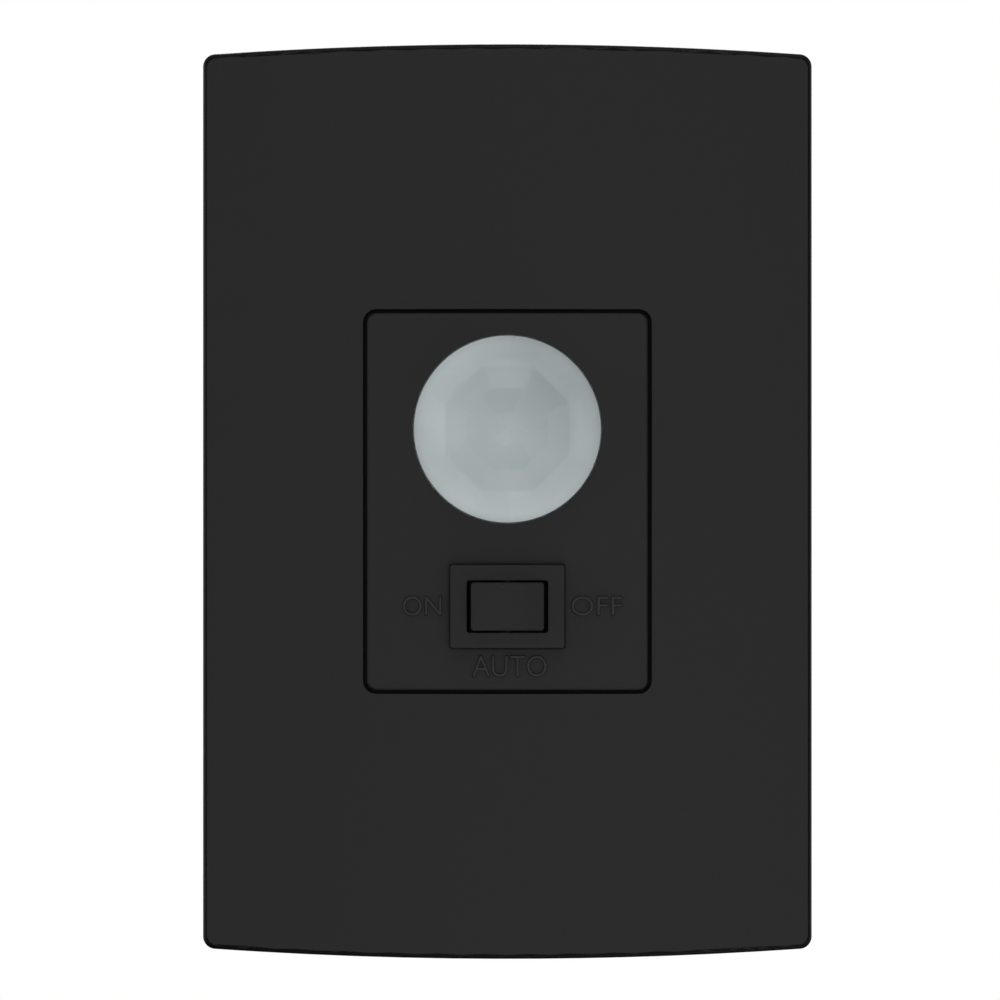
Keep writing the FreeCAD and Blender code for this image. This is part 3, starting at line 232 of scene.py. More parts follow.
# Screws
# Pan-head screws of zinc-plated steel hold the module to the frame, the board to the front shell and the
# rear cover to both. Bright blue-grey plating, a little uneven.
zinc_steel = surface("zinc_plated_steel", "#9EA3A8", "#C2C6CA", 1.2, (0.22, 0.38), 0.3, 0.004, Metallic=1.0)
for node, name in (("module_screws", "frame_screw_set"), ("board_screws", "board_screw_set"),
                   ("cover_screws", "cover_screw_set")):
    finished(node, name, zinc_steel, 35.0)


# Rear cover
# Stepped shell behind the module, moulded in black ABS with a fine grain. Around each of its two setting
# holes stands a ring of eleven short moulded marks, one step apart over three quarters of a turn.
def grown(name, tree, values, source=None):
    """Run a node tree with its named inputs set, and keep the result as a plain mesh."""
    carrier = bpy.data.objects.new(name, source or bpy.data.meshes.new(name))
    modifier = carrier.modifiers.new("grow", "NODES")
    modifier.node_group = tree
    for item in tree.interface.items_tree:
        if item.in_out == "INPUT" and item.name in values:
            modifier[item.identifier] = values[item.name]
    bpy.context.scene.collection.objects.link(carrier)
    view = bpy.context.evaluated_depsgraph_get()
    mesh = bpy.data.meshes.new_from_object(carrier.evaluated_get(view))
    mesh.name = name
    carrier.modifiers.clear()
    carrier.data = mesh
    return carrier


def new_tree(name, inputs):
    """Geometry node tree with its named inputs, a group input and a group output."""
    tree = bpy.data.node_groups.new(name, "GeometryNodeTree")
    for key, kind in inputs.items():
        tree.interface.new_socket(name=key, in_out="INPUT", socket_type="NodeSocket" + kind)
    tree.interface.new_socket(name="Geometry", in_out="OUTPUT", socket_type="NodeSocketGeometry")
    return tree, tree.nodes.new("NodeGroupInput"), tree.nodes.new("NodeGroupOutput")


def end_tree(tree, shape, group_in, group_out):
    """End a tree in plain geometry that wears the material given to its input."""
    real = add_node(tree, "GeometryNodeRealizeInstances", links={0: shape.outputs[0]})
    done = add_node(tree, "GeometryNodeSetMaterial",
                    links={"Geometry": real.outputs[0], "Material": group_in.outputs["Material"]})
    tree.links.new(done.outputs[0], group_out.inputs[0])


black_abs = surface("black_abs_spark_eroded", "#131313", "#151515", 9.0, (0.52, 0.6), 0.22, 0.006, IOR=1.53,
                    Specular_IOR_Level=0.12)
finished("rear_cover", "rear_shell", black_abs)

marks_tree, marks_in, marks_out = new_tree("setting_marks", {
    "Count": "Int", "Radius": "Float", "Length": "Float", "Width": "Float", "Material": "Material"})
marks_arc = add_node(marks_tree, "GeometryNodeCurveArc",
                     {"Start Angle": math.radians(-45), "Sweep Angle": math.radians(270)},
                     {"Resolution": marks_in.outputs["Count"], "Radius": marks_in.outputs["Radius"]})
marks_points = add_node(marks_tree, "GeometryNodeCurveToPoints",
                        links={"Curve": marks_arc.outputs[0], "Count": marks_in.outputs["Count"]})
marks_size = add_node(marks_tree, "ShaderNodeCombineXYZ",
                      links={"X": marks_in.outputs["Length"], "Y": marks_in.outputs["Width"],
                             "Z": marks_in.outputs["Width"]})
marks_bar = add_node(marks_tree, "GeometryNodeMeshCube", links={"Size": marks_size.outputs[0]})
marks_copies = add_node(marks_tree, "GeometryNodeInstanceOnPoints",
                        links={"Points": marks_points.outputs["Points"],
                               "Instance": marks_bar.outputs["Mesh"],
                               "Rotation": marks_points.outputs["Rotation"]})
end_tree(marks_tree, marks_copies, marks_in, marks_out)
mark_count = 11
mark_ring_radius = 2.9 * mm
mark_side = 0.25 * mm
cover_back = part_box("rear_cover")[1].y
z_to_front = Matrix.Rotation(math.radians(90), 4, "X")
for setting in ("time", "light"):
    low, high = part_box(f"{setting}_spindle")
    middle = (low + high) / 2
    marks = grown(f"{setting}_setting_marks", marks_tree,
                  {"Count": mark_count, "Radius": mark_ring_radius, "Length": mark_side, "Width": mark_side,
                   "Material": black_abs})
    marks.data.transform(Matrix.Translation((middle.x, cover_back, middle.z)) @ z_to_front)
    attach(marks, "sensor_base")


# Wire terminal
# Three poles in green polyamide stand on the board. In each, a slotted steel screw pulls a turned brass
# clamp down on the wire that comes in from below. The plastic is satin, the brass bright where it was cut.
terminal_green = surface("green_polyamide", "#1C5233", "#256642", 3.0, (0.36, 0.5), 0.25, 0.006, IOR=1.53)
brass = surface("turned_brass", "#A8843F", "#C8A458", 0.7, (0.18, 0.32), 0.2, 0.003, Metallic=1.0)
for pole in ("line", "neutral", "load"):
    finished(f"terminal_pole_{pole}", f"{pole}_pole_body", terminal_green)
finished("terminal_clamps", "clamp_blocks", brass)
finished("terminal_screws", "clamp_screw_set", zinc_steel)


# Circuit board
# Glass cloth in epoxy under a green solder mask, so that the cloth's squares show faintly. Each lead ends
# in a cone of solder on a tinned pad, on the side away from its part.
def weave(material, pitch, depth):
    """Raise the crossing threads of a glass cloth in a material, at their pitch and height in mm."""
    tree = material.node_tree
    shader = tree.nodes["Principled BSDF"]
    where = add_node(tree, "ShaderNodeTexCoord")
    threads = [add_node(tree, "ShaderNodeTexWave", {"Scale": 1000 / pitch / (2 * math.pi)},
                        {"Vector": where.outputs["Object"]}, bands_direction=axis) for axis in ("X", "Z")]
    cloth = add_node(tree, "ShaderNodeMath", operation="MAXIMUM",
                     links={0: threads[0].outputs["Fac"], 1: threads[1].outputs["Fac"]})
    bump = add_node(tree, "ShaderNodeBump", {"Distance": depth * mm}, {"Height": cloth.outputs[0]})
    tree.links.new(bump.outputs["Normal"], shader.inputs["Normal"])


board_laminate = surface("masked_glass_epoxy", "#1B4A2C", "#21573A", 5.0, (0.25, 0.38), 0.4, 0.004, IOR=1.55)
weave(board_laminate, 0.9, 0.01)
solder = surface("tin_solder", "#A9ACAE", "#C3C6C8", 0.5, (0.18, 0.34), 0.3, 0.006, Metallic=1.0)
tinned = surface("tinned_copper_wire", "#B4B6B8", "#C6C8CA", 0.8, (0.2, 0.32), 0.3, 0.003, Metallic=1.0)
finished("main_board", "circuit_board", board_laminate)

joints_tree, joints_in, joints_out = new_tree("solder_joints", {
    "Places": "Geometry", "Turn": "Rotation", "Pad Radius": "Float", "Pad Height": "Float",
    "Foot": "Float", "Neck": "Float", "Height": "Float", "Material": "Material"})
pad = add_node(joints_tree, "GeometryNodeMeshCylinder", {"Vertices": 20},
               {"Radius": joints_in.outputs["Pad Radius"], "Depth": joints_in.outputs["Pad Height"]})
cone = add_node(joints_tree, "GeometryNodeMeshCone", {"Vertices": 16, "Side Segments": 3},
                {"Radius Bottom": joints_in.outputs["Foot"], "Radius Top": joints_in.outputs["Neck"],
                 "Depth": joints_in.outputs["Height"]})
joint_form = add_node(joints_tree, "GeometryNodeJoinGeometry")
joints_tree.links.new(pad.outputs["Mesh"], joint_form.inputs[0])
joints_tree.links.new(cone.outputs["Mesh"], joint_form.inputs[0])
joint_copies = add_node(joints_tree, "GeometryNodeInstanceOnPoints",
                        links={"Points": joints_in.outputs["Places"], "Instance": joint_form.outputs[0],
                               "Rotation": joints_in.outputs["Turn"]})
end_tree(joints_tree, joint_copies, joints_in, joints_out)


def lead_ends(node, level, side, lead_width=1.0 * mm):
    """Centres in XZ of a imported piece's leads, from its corners past a level of Y."""
    ends = []
    for vertex in frame["nodes"][node].data.vertices:
        here = Vector((vertex.co.x, vertex.co.z))
        if side * (vertex.co.y - level) <= 0:
            continue
        near = [end for end in ends if (end[0] - here).length < lead_width]
        if near:
            near[0].append(here)
        else:
            ends.append([here])
    return [(min(p.x for p in end) / 2 + max(p.x for p in end) / 2,
             min(p.y for p in end) / 2 + max(p.y for p in end) / 2) for end in ends]


board_low, board_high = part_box("main_board")
lead_show = 0.3 * mm
pad_radius, pad_height = 0.85 * mm, 0.07 * mm
cone_foot, cone_neck, cone_height = 0.7 * mm, 0.3 * mm, 0.6 * mm
joint_edge_angle = math.radians(40)
behind = ("relay_pins", "film_capacitor", "smoothing_capacitor", "rail_capacitor", "varistor",
          "fusible_resistor", "rectifier_diodes", "time_trimmer", "light_trimmer", "terminal_clamps")
ahead = ("pir_leads", "photocell_leads", "switch_contacts")
for name, nodes, level, side in (("front_solder_joints", behind, board_low.y, -1),
                                 ("rear_solder_joints", ahead, board_high.y, 1)):
    spots = [spot for node in nodes for spot in lead_ends(node, level + side * lead_show, side)]
    places = bpy.data.meshes.new(name)
    places.from_pydata([(x, level, z) for x, z in spots], [], [])
    joints = grown(name, joints_tree,
                   {"Turn": (-side * math.pi / 2, 0, 0), "Pad Radius": pad_radius,
                    "Pad Height": pad_height, "Foot": cone_foot, "Neck": cone_neck,
                    "Height": cone_height, "Material": solder}, places)
    joints.data.polygons.foreach_set("use_smooth", [True] * len(joints.data.polygons))
    joints.data.set_sharp_from_angle(angle=joint_edge_angle)
    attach(joints, "sensor_base")


# Relay
# The load relay under its blue case. A bobbin of enamelled copper wire on a soft iron core pulls the
# armature, which carries a leaf with one silver contact. Iron parts are zinc-plated, bobbin and base are
# black polyester.
relay_blue = surface("blue_polyester", "#1B4E86", "#225A96", 4.0, (0.26, 0.38), 0.3, 0.005, IOR=1.57)
relay_black = surface("black_polyester", "#17181A", "#1E2022", 2.0, (0.35, 0.5), 0.2, 0.005, IOR=1.57)
silver = surface("silver_contact_face", "#C6C4BE", "#DAD8D2", 0.6, (0.16, 0.3), 0.2, 0.003, Metallic=1.0)
copper = surface("enamelled_copper_wire", "#9A4B22", "#B86230", 0.6, (0.2, 0.3), 0.3, 0.002, Metallic=0.9)
finished("relay_cover", "relay_case", relay_blue)
finished("relay_base", "relay_foot", relay_black)
finished("relay_yoke", "relay_yoke_plate", zinc_steel)
finished("relay_core", "relay_iron_core", zinc_steel)
finished("relay_bobbin", "relay_coil_former", relay_black)
finished("relay_armature", "relay_armature_plate", zinc_steel)
finished("relay_moving_contact", "relay_contact_leaf", silver)
finished("relay_fixed_contact", "relay_contact_blade", silver)
finished("relay_pins", "relay_leg_set", tinned)

coil_tree, coil_in, coil_out = new_tree("coil_turns", {
    "Turns": "Float", "Radius": "Float", "Length": "Float", "Wire Radius": "Float", "Material": "Material"})
coil_line = add_node(coil_tree, "GeometryNodeCurveSpiral", {"Resolution": 28},
                     {"Rotations": coil_in.outputs["Turns"], "Start Radius": coil_in.outputs["Radius"],
                      "End Radius": coil_in.outputs["Radius"], "Height": coil_in.outputs["Length"]})
coil_section = add_node(coil_tree, "GeometryNodeCurvePrimitiveCircle", {"Resolution": 8},
                        {"Radius": coil_in.outputs["Wire Radius"]})
coil_wire = add_node(coil_tree, "GeometryNodeCurveToMesh", {"Fill Caps": True},
                     {"Curve": coil_line.outputs[0], "Profile Curve": coil_section.outputs[0]})
end_tree(coil_tree, coil_wire, coil_in, coil_out)
coil_low, coil_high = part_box("relay_winding")
coil_middle = (coil_low + coil_high) / 2
coil_length = coil_high.y - coil_low.y
coil_radius = (coil_high.x - coil_low.x) / 2
wire_radius = 0.15 * mm
finished("relay_winding", "coil_inner_layers", copper)
coil = grown("coil_outer_turns", coil_tree,
             {"Turns": round(coil_length / (2 * wire_radius)) - 1.0, "Radius": coil_radius,
              "Length": coil_length - 2 * wire_radius, "Wire Radius": wire_radius, "Material": copper})
coil_start = Matrix.Translation((coil_middle.x, coil_high.y - wire_radius, coil_middle.z))
coil.data.transform(coil_start @ z_to_front)
coil.data.polygons.foreach_set("use_smooth", [True] * len(coil.data.polygons))
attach(coil, "sensor_base")


# Capacitors, varistor, resistor and diodes
# Bought parts on the board's rear: a yellow film box, two sleeved cans, a blue lacquered disc, a cement
# resistor and four black diodes with a silver band. Each has tinned leads, which are part of the same mesh.
def refinish(piece, material, chosen):
    """Give the faces that are chosen another finish."""
    piece.data.materials.append(material)
    for face in piece.data.polygons:
        if chosen(face):
            face.material_index = len(piece.data.materials) - 1


def stripe(name, centre, radius, width, material, lift=0.02 * mm, steps=32):
    """Painted band round a part that lies along Z, as a thin closed ring."""
    form = bmesh.new()
    profile = [(radius - lift, -width / 2), (radius + lift, -width / 2), (radius + lift, width / 2),
               (radius - lift, width / 2)]
    rings = []
    for n in range(steps):
        angle = 2 * math.pi * n / steps
        rings.append([form.verts.new(centre + Vector((r * math.cos(angle), r * math.sin(angle), z)))
                      for r, z in profile])
    for n in range(steps):
        for k in range(4):
            form.faces.new((rings[n][k], rings[(n + 1) % steps][k], rings[(n + 1) % steps][(k + 1) % 4],
                            rings[n][(k + 1) % 4]))
    bmesh.ops.recalc_face_normals(form, faces=form.faces)
    mesh = bpy.data.meshes.new(name)
    form.to_mesh(mesh)
    form.free()
    mesh.materials.append(material)
    band = place(name, mesh)
    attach(band, "sensor_base")


film_yellow = surface("yellow_polyester_box", "#C49A2C", "#CFA63A", 3.0, (0.3, 0.42), 0.3, 0.004, IOR=1.57)
sleeve_black = surface("shrunk_pvc_sleeve", "#191B22", "#20222B", 2.0, (0.25, 0.36), 0.8, 0.01, IOR=1.54)
can_aluminium = surface("drawn_aluminium", "#B9BCBF", "#CDD0D2", 1.0, (0.22, 0.34), 0.3, 0.003, Metallic=1.0)
disc_blue = surface("blue_epoxy_lacquer", "#1F4F9A", "#2A5FB0", 1.6, (0.22, 0.36), 0.9, 0.03, IOR=1.55)
cement_green = surface("cement_coating", "#4E6B54", "#5A7860", 1.2, (0.55, 0.7), 0.25, 0.02, IOR=1.5)
diode_black = surface("moulded_diode_epoxy", "#141516", "#1B1C1E", 1.5, (0.3, 0.42), 0.2, 0.004, IOR=1.55)
band_silver = surface("silver_band_ink", "#B8BABC", "#C6C8CA", 0.8, (0.3, 0.4), 0.2, 0.002, IOR=1.5)

board_rear = board_high.y
film_standoff = 1.2 * mm
varistor_standoff = 0.9 * mm
sleeve_lip = 0.5 * mm
resistor_half_length = 3.02 * mm
diode_half_length = 2.52 * mm


def in_board(face):
    """True for what lies inside or in front of the board, which is bare lead."""
    return face.center.y < board_rear - hair


film_box = finished("film_capacitor", "film_capacitor_box", film_yellow)
refinish(film_box, tinned, lambda face: face.center.y < board_rear + film_standoff - hair)
for node, name in (("smoothing_capacitor", "smoothing_can"), ("rail_capacitor", "rail_can")):
    can = finished(node, name, sleeve_black)
    low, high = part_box(node)
    reach = (high.x - low.x) / 2 - sleeve_lip
    middle = (low + high) / 2

    def bare_end(face):
        """True for the can's end inside the sleeve's lip."""
        off_axis = math.hypot(face.center.x - middle.x, face.center.z - middle.z)
        return face.center.y > high.y - hair and off_axis < reach

    refinish(can, can_aluminium, bare_end)
    refinish(can, tinned, in_board)
varistor_disc = finished("varistor", "varistor_disc", disc_blue)
refinish(varistor_disc, tinned, lambda face: face.center.y < board_rear + varistor_standoff)
resistor = finished("fusible_resistor", "fusible_resistor_body", cement_green)
low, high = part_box("fusible_resistor")
resistor_middle = (low + high) / 2
resistor_radius = (high.x - low.x) / 2
resistor_axis = Vector((resistor_middle.x, high.y - resistor_radius, resistor_middle.z))
refinish(resistor, tinned, lambda face: abs(face.center.z - resistor_middle.z) > resistor_half_length)
ring_width = 0.45 * mm
ring_inks = {colour: surface(f"{colour}_ring_ink", tint, tint, 1.0, (0.4, 0.5), 0.2, 0.002, IOR=1.5)
             for colour, tint in (("brown", "#4A2416"), ("black", "#101010"), ("gold", "#A5842E"))}
for step, colour in zip((-1.7, -0.8, 0.1, 1.6), ("brown", "black", "black", "gold")):
    stripe(f"resistor_ring_{round(10 * (step + 2))}", resistor_axis + Vector((0, 0, step * mm)),
           resistor_radius, ring_width, ring_inks[colour])
diodes = finished("rectifier_diodes", "rectifier_diode_set", diode_black)
diode_low, diode_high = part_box("rectifier_diodes")
diode_radius = 1.3 * mm
diode_pitch = (diode_high.x - diode_low.x - 2 * diode_radius) / 3
diode_middle = (diode_low + diode_high) / 2
band_place, band_width = 1.6 * mm, 0.6 * mm
refinish(diodes, tinned, lambda face: abs(face.center.z - diode_middle.z) > diode_half_length)
for n in range(4):
    band_centre = Vector((diode_low.x + diode_radius + n * diode_pitch, diode_high.y - diode_radius,
                          diode_middle.z + band_place))
    stripe(f"diode_band_{n + 1}", band_centre, diode_radius, band_width, band_silver)


# Trimmers and spindles
# Two blue trimmers on the board, each turned by a long white polyacetal spindle whose slotted end shows in
# the rear shell. The plastic is waxy and a little translucent.
white_acetal = surface("white_polyacetal", "#D9D9D2", "#E4E4DE", 4.0, (0.3, 0.42), 0.4, 0.004, IOR=1.48,
                       Subsurface_Weight=0.2, Subsurface_Scale=0.0004)
for name in ("time", "light"):
    trimmer = finished(f"{name}_trimmer", f"{name}_trimmer_body", relay_blue)
    refinish(trimmer, tinned, in_board)
    finished(f"{name}_spindle", f"{name}_setting_spindle", white_acetal)


# Chips and other small parts on the board's front
# Moulded epoxy bodies, matt from the tool, on legs of tinned copper. The resistors are black glazed chips
# and the capacitors tan ceramic blocks, each with a tinned cap at both ends.
chip_epoxy = surface("moulded_chip_epoxy", "#18191A", "#1F2021", 2.0, (0.45, 0.6), 0.12, 0.006, IOR=1.55)
tan_ceramic = surface("fired_tan_ceramic", "#8E6F4D", "#9A7B58", 1.2, (0.4, 0.55), 0.2, 0.004, IOR=1.6)
leg_reach = 0.75 * mm
for node, name, axis in (("sensor_amplifier", "amplifier_chip", 0), ("microcontroller", "control_chip", 2),
                         ("driver_transistor", "coil_driver_chip", 2)):
    low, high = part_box(node)
    chip = finished(node, name, chip_epoxy)
    inner = (low[axis] + leg_reach, high[axis] - leg_reach)
    refinish(chip, tinned, lambda face: not inner[0] - hair < face.center[axis] < inner[1] + hair)
cap_width = 0.35 * mm


def reaches_along_x(form):
    """Least and greatest X of each separate shell of a mesh."""
    reaches = []
    left = set(form.verts)
    while left:
        reached = {left.pop()}
        edge_of_reach = list(reached)
        while edge_of_reach:
            vertex = edge_of_reach.pop()
            for edge in vertex.link_edges:
                other = edge.other_vert(vertex)
                if other not in reached:
                    reached.add(other)
                    edge_of_reach.append(other)
        left -= reached
        reaches.append((min(v.co.x for v in reached), max(v.co.x for v in reached)))
    return reaches


def capped_parts(node, name, material):
    """Like small parts along X, cut across near both ends so that the caps take their own finish."""
    piece = finished(node, name, material)
    form = bmesh.new()
    form.from_mesh(piece.data)
    reaches = reaches_along_x(form)
    for low_x, high_x in reaches:
        for cut in (low_x + cap_width, high_x - cap_width):
            bmesh.ops.bisect_plane(form, geom=form.verts[:] + form.edges[:] + form.faces[:],
                                   plane_co=(cut, 0, 0), plane_no=(1, 0, 0))
    form.to_mesh(piece.data)
    form.free()

    def in_cap(face):
        """True for a face inside one of the two caps of any part."""
        x = face.center.x
        return any(low_x <= x < low_x + cap_width or high_x - cap_width < x <= high_x
                   for low_x, high_x in reaches)

    refinish(piece, tinned, in_cap)


capped_parts("chip_resistors", "chip_resistor_set", chip_epoxy)
capped_parts("chip_capacitors", "chip_capacitor_set", tan_ceramic)


# Infrared detector
# A nickel-plated can with a dark silicon filter in its end, over a ceramic carrier with the sensing
# crystal. It stands on a black spacer behind the lens, at the middle of the dome.
nickel = surface("nickel_plated_can", "#A29F98", "#B7B4AD", 1.5, (0.2, 0.32), 0.3, 0.003, Metallic=1.0)
silicon = surface("coated_silicon_filter", "#1C2028", "#282C38", 1.5, (0.08, 0.16), 0.4, 0.001, IOR=1.9)
alumina = surface("fired_alumina", "#C9C6BE", "#D6D3CB", 1.0, (0.5, 0.62), 0.2, 0.004, IOR=1.7)
crystal = surface("sensing_crystal", "#5E5A50", "#6C675C", 0.8, (0.2, 0.3), 0.2, 0.002, IOR=2.1)
finished("pir_spacer", "detector_spacer", relay_black)
finished("pir_header", "detector_header", nickel)
finished("pir_can", "detector_can", nickel)
finished("pir_window", "detector_filter", silicon)
finished("pir_substrate", "detector_carrier", alumina)
finished("pir_element", "detector_crystal", crystal)
finished("pir_leads", "detector_leg_set", tinned)


# Photocell
# A clear epoxy body with a round end, which sees the daylight that comes through the lens.
clear_epoxy = surface("clear_cast_epoxy", "#D8E2E4", "#E2EAEC", 3.0, (0.05, 0.1), 0.8, 0.002, IOR=1.52,
                      Transmission_Weight=0.85)
finished("photocell", "photocell_body", clear_epoxy)
finished("photocell_leads", "photocell_leg_set", tinned)


# Rocker switch
# A raised bezel and box in one black moulding, held by two hooks, whose rounded edge is darkened with
# painted shade. The rocker tilts in it, and through a sprung plunger it tips a silver-faced bridge from one
# side contact to the other.
# A short raised line marks the rocker near its upper edge.
spring_steel = surface("drawn_spring_steel", "#8E9194", "#A5A8AB", 0.4, (0.2, 0.3), 0.2, 0.002, Metallic=1.0)
black_abs_raised = surface("black_abs_raised_marks", "#131313", "#151515", 9.0, (0.46, 0.54), 0.22, 0.002,
                           IOR=1.53, Specular_IOR_Level=0.15)
# A darker black with a smoother finish: painted shade for rounded edges, groove walls, the opening's walls
# and letter sides.
black_abs_painted_shade = surface("black_abs_painted_shade_edge", "#060606", "#080808", 9.0, (0.34, 0.4), 0.3, 0.002,
                             IOR=1.53, Specular_IOR_Level=0.04)
front_facing, side_facing = -0.85, -0.1
bezel = finished("rocker_frame", "switch_bezel", black_abs)
bezel_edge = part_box("rocker_frame")[0].y + 0.5 * mm
# Painted shade: the bezel's rounded front edge gets the darker black.
refinish(bezel, black_abs_painted_shade,
         lambda face: face.center.y < bezel_edge and front_facing < face.normal.y < side_facing)
finished("rocker_cap", "switch_rocker", black_abs)
cap_low, cap_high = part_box("rocker_cap")
mark_left, mark_inset, mark_rise = 0.75 * mm, 0.44 * mm, 2.6 * mm
mark_length, mark_depth, mark_height = 0.9 * mm, 0.3 * mm, 0.22 * mm
mark_edge_radius = 0.05 * mm
mark_middle = Vector((-mark_left, cap_low.y + mark_inset, (cap_low.z + cap_high.z) / 2 + mark_rise))
mark_form = bmesh.new()
mark_sizes = Matrix.Diagonal((mark_length, mark_depth, mark_height, 1.0))
bmesh.ops.create_cube(mark_form, size=1.0, matrix=Matrix.Translation(mark_middle) @ mark_sizes)
bmesh.ops.bevel(mark_form, geom=mark_form.edges[:], offset=mark_edge_radius, segments=2, affect="EDGES")
mark_mesh = bpy.data.meshes.new("rocker_mark")
mark_form.to_mesh(mark_mesh)
mark_form.free()
mark_mesh.materials.append(black_abs_raised)
rocker_mark = place("rocker_mark", mark_mesh)
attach(rocker_mark, "rocker")
finished("switch_plunger", "switch_plunger_pin", white_acetal)
finished("switch_spring", "plunger_spring", spring_steel)
finished("contact_bridge", "switch_bridge_strip", silver)
finished("switch_contacts", "switch_contact_strips", silver)


# Front shell
# Crowned black ABS shell of the module, darkened with painted shade where its edge dips into the groove. Its
# face carries the words ON, OFF and AUTO beside and below the switch, moulded in low relief and in the same
# black. Their tops are a little glossier than the grained face, and their sides are darkened with painted
# shade.
face_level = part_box("wall_plate")[0].y
side_drop = 2.0 * mm
half_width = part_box("wall_plate")[1].x
crown_radius = (half_width ** 2 + side_drop ** 2) / (2 * side_drop)


def crown_level(x, inset=0.0):
    """Y of the crowned front at a distance from the plate's middle, or of a surface that far behind it."""
    radius = crown_radius - inset
    return face_level + crown_radius - math.sqrt(radius ** 2 - x ** 2)


def smooth_crown(piece, facing=-0.98, fit=0.004 * mm):
    """Give a piece's crowned front the exact normals of its cylinder, so that no triangle gleams."""
    mesh = piece.data
    normals = [corner.vector.copy() for corner in mesh.corner_normals]
    for face in mesh.polygons:
        points = [mesh.vertices[v].co for v in face.vertices]
        if face.normal.y < facing and all(abs(p.y - crown_level(p.x)) < fit for p in points):
            for corner, point in zip(face.loop_indices, points):
                normals[corner] = Vector((point.x, point.y - face_level - crown_radius, 0)).normalized()
    mesh.normals_split_custom_set(normals)


edge_depth = 0.5 * mm


def groove_shade_faces(face):
    """True for the shell's edge and flange in front of the wall, which the groove shows and which get
    painted shade.
    """
    return crown_level(face.center.x) + edge_depth < face.center.y < 0 and face.normal.y < 0.5


front_shell = finished("module_front", "front_shell", black_abs)
# Painted shade: the shell's edge in the groove gets the darker black.
refinish(front_shell, black_abs_painted_shade, groove_shade_faces)
smooth_crown(front_shell)


letter_extrude, letter_bevel, letter_offset = 0.02, 0.022, -0.016


def raised_word(word, left, right, low, high, relief=0.34 * mm, root=0.05 * mm):
    """Word in low relief on the crowned face, between four limits in XZ."""
    lettering = bpy.data.curves.new(word, "FONT")
    lettering.body = word
    lettering.extrude = letter_extrude
    lettering.bevel_depth = letter_bevel
    lettering.bevel_resolution = 2
    lettering.offset = letter_offset
    lettering.resolution_u = 8
    carrier = bpy.data.objects.new(word, lettering)
    bpy.context.scene.collection.objects.link(carrier)
    view = bpy.context.evaluated_depsgraph_get()
    mesh = bpy.data.meshes.new_from_object(carrier.evaluated_get(view))
    bpy.data.objects.remove(carrier)
    reaches = [[limit(v.co[axis] for v in mesh.vertices) for limit in (min, max)] for axis in range(3)]
    for vertex in mesh.vertices:
        share = [(place_on_axis - least) / (most - least)
                 for place_on_axis, (least, most) in zip(vertex.co, reaches)]
        x = left + share[0] * (right - left)
        z = low + share[1] * (high - low)
        vertex.co = (x, crown_level(x) + root - share[2] * (relief + root), z)
    form = bmesh.new()
    form.from_mesh(mesh)
    bmesh.ops.remove_doubles(form, verts=form.verts, dist=merge_distance)
    bmesh.ops.recalc_face_normals(form, faces=form.faces)
    form.to_mesh(mesh)
    form.free()
    mesh.materials.clear()
    mesh.materials.append(black_abs_raised)
    letters = place(f"word_{word.lower()}", mesh)
    # Painted shade: the letters' side walls get the darker black, which draws dark outlines.
    refinish(letters, black_abs_painted_shade, lambda face: face.normal.y > front_facing)
    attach(letters, "sensor_base")


for word, left, right, low, high in (("ON", -13.74, -8.62, -15.0, -12.4), ("OFF", 8.35, 15.1, -15.0, -12.4),
                                     ("AUTO", -4.66, 5.18, -23.0, -20.15)):
    raised_word(word, left * mm, right * mm, low * mm, high * mm)


# Lens
# A dome of milky polyethylene, moulded as four rings of flat cells that each gather heat from one
# direction. Its outline is a true circle, and the cells' edges are straight, so the rings look like
# polygons. Its colour differs a little at random from cell to cell, and painted light makes it lighter to
# one side, towards the rim and in the outer rings.
lens_low, lens_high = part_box("fresnel_lens")
lens_middle = (lens_low + lens_high) / 2
lens_radius = 12.25 * mm
lens_rise = 8.0 * mm
lens_wall = 0.7 * mm
flange_depth = 0.8 * mm
flange_front = lens_high.y - flange_depth
flange_radius = (lens_high.x - lens_low.x) / 2
dome_radius = (lens_radius ** 2 + lens_rise ** 2) / (2 * lens_rise)
dome_centre = lens_low.y + dome_radius
ring_edges = (0.0, 0.21, 0.48, 0.735, 1.0)
ring_sides = (6, 6, 8, 8, 0)
ring_turns = tuple(math.radians(angle) for angle in (0.0, 10.0, 22.5, 22.5, 0.0))
ring_cells = (5, 6, 8, 16)
# Painted light: the ring tones, the side share and the rim tone lighten the outer rings, one side and the
# rim.
ring_tones_and_light = (0.09, 0.09, 0.12, 0.19)
tone_spread = 0.02
painted_light_side = Vector((-0.95, -0.3))
painted_light_share = 0.18
rim_start, rim_full = 0.66, 0.93
painted_rim_light = 0.28
flatness = 0.3
edge_fade_share = 0.08
ring_line_share = 0.005
columns = 144
rows_per_ring = 8


def ring_share(edge, turn):
    """Distance of a ring's line from the lens axis, as a share of the radius: a polygon or a circle."""
    if not ring_sides[edge]:
        return ring_edges[edge]
    half_side = math.pi / ring_sides[edge]
    off_flat = (turn - ring_turns[edge]) % (2 * half_side) - half_side
    return ring_edges[edge] * math.cos(half_side) / math.cos(off_flat)


def dome_level(share, radius):
    """Y of a sphere about the dome's centre, at a share of the lens radius from the axis."""
    return dome_centre - math.sqrt(radius ** 2 - (share * lens_radius) ** 2)


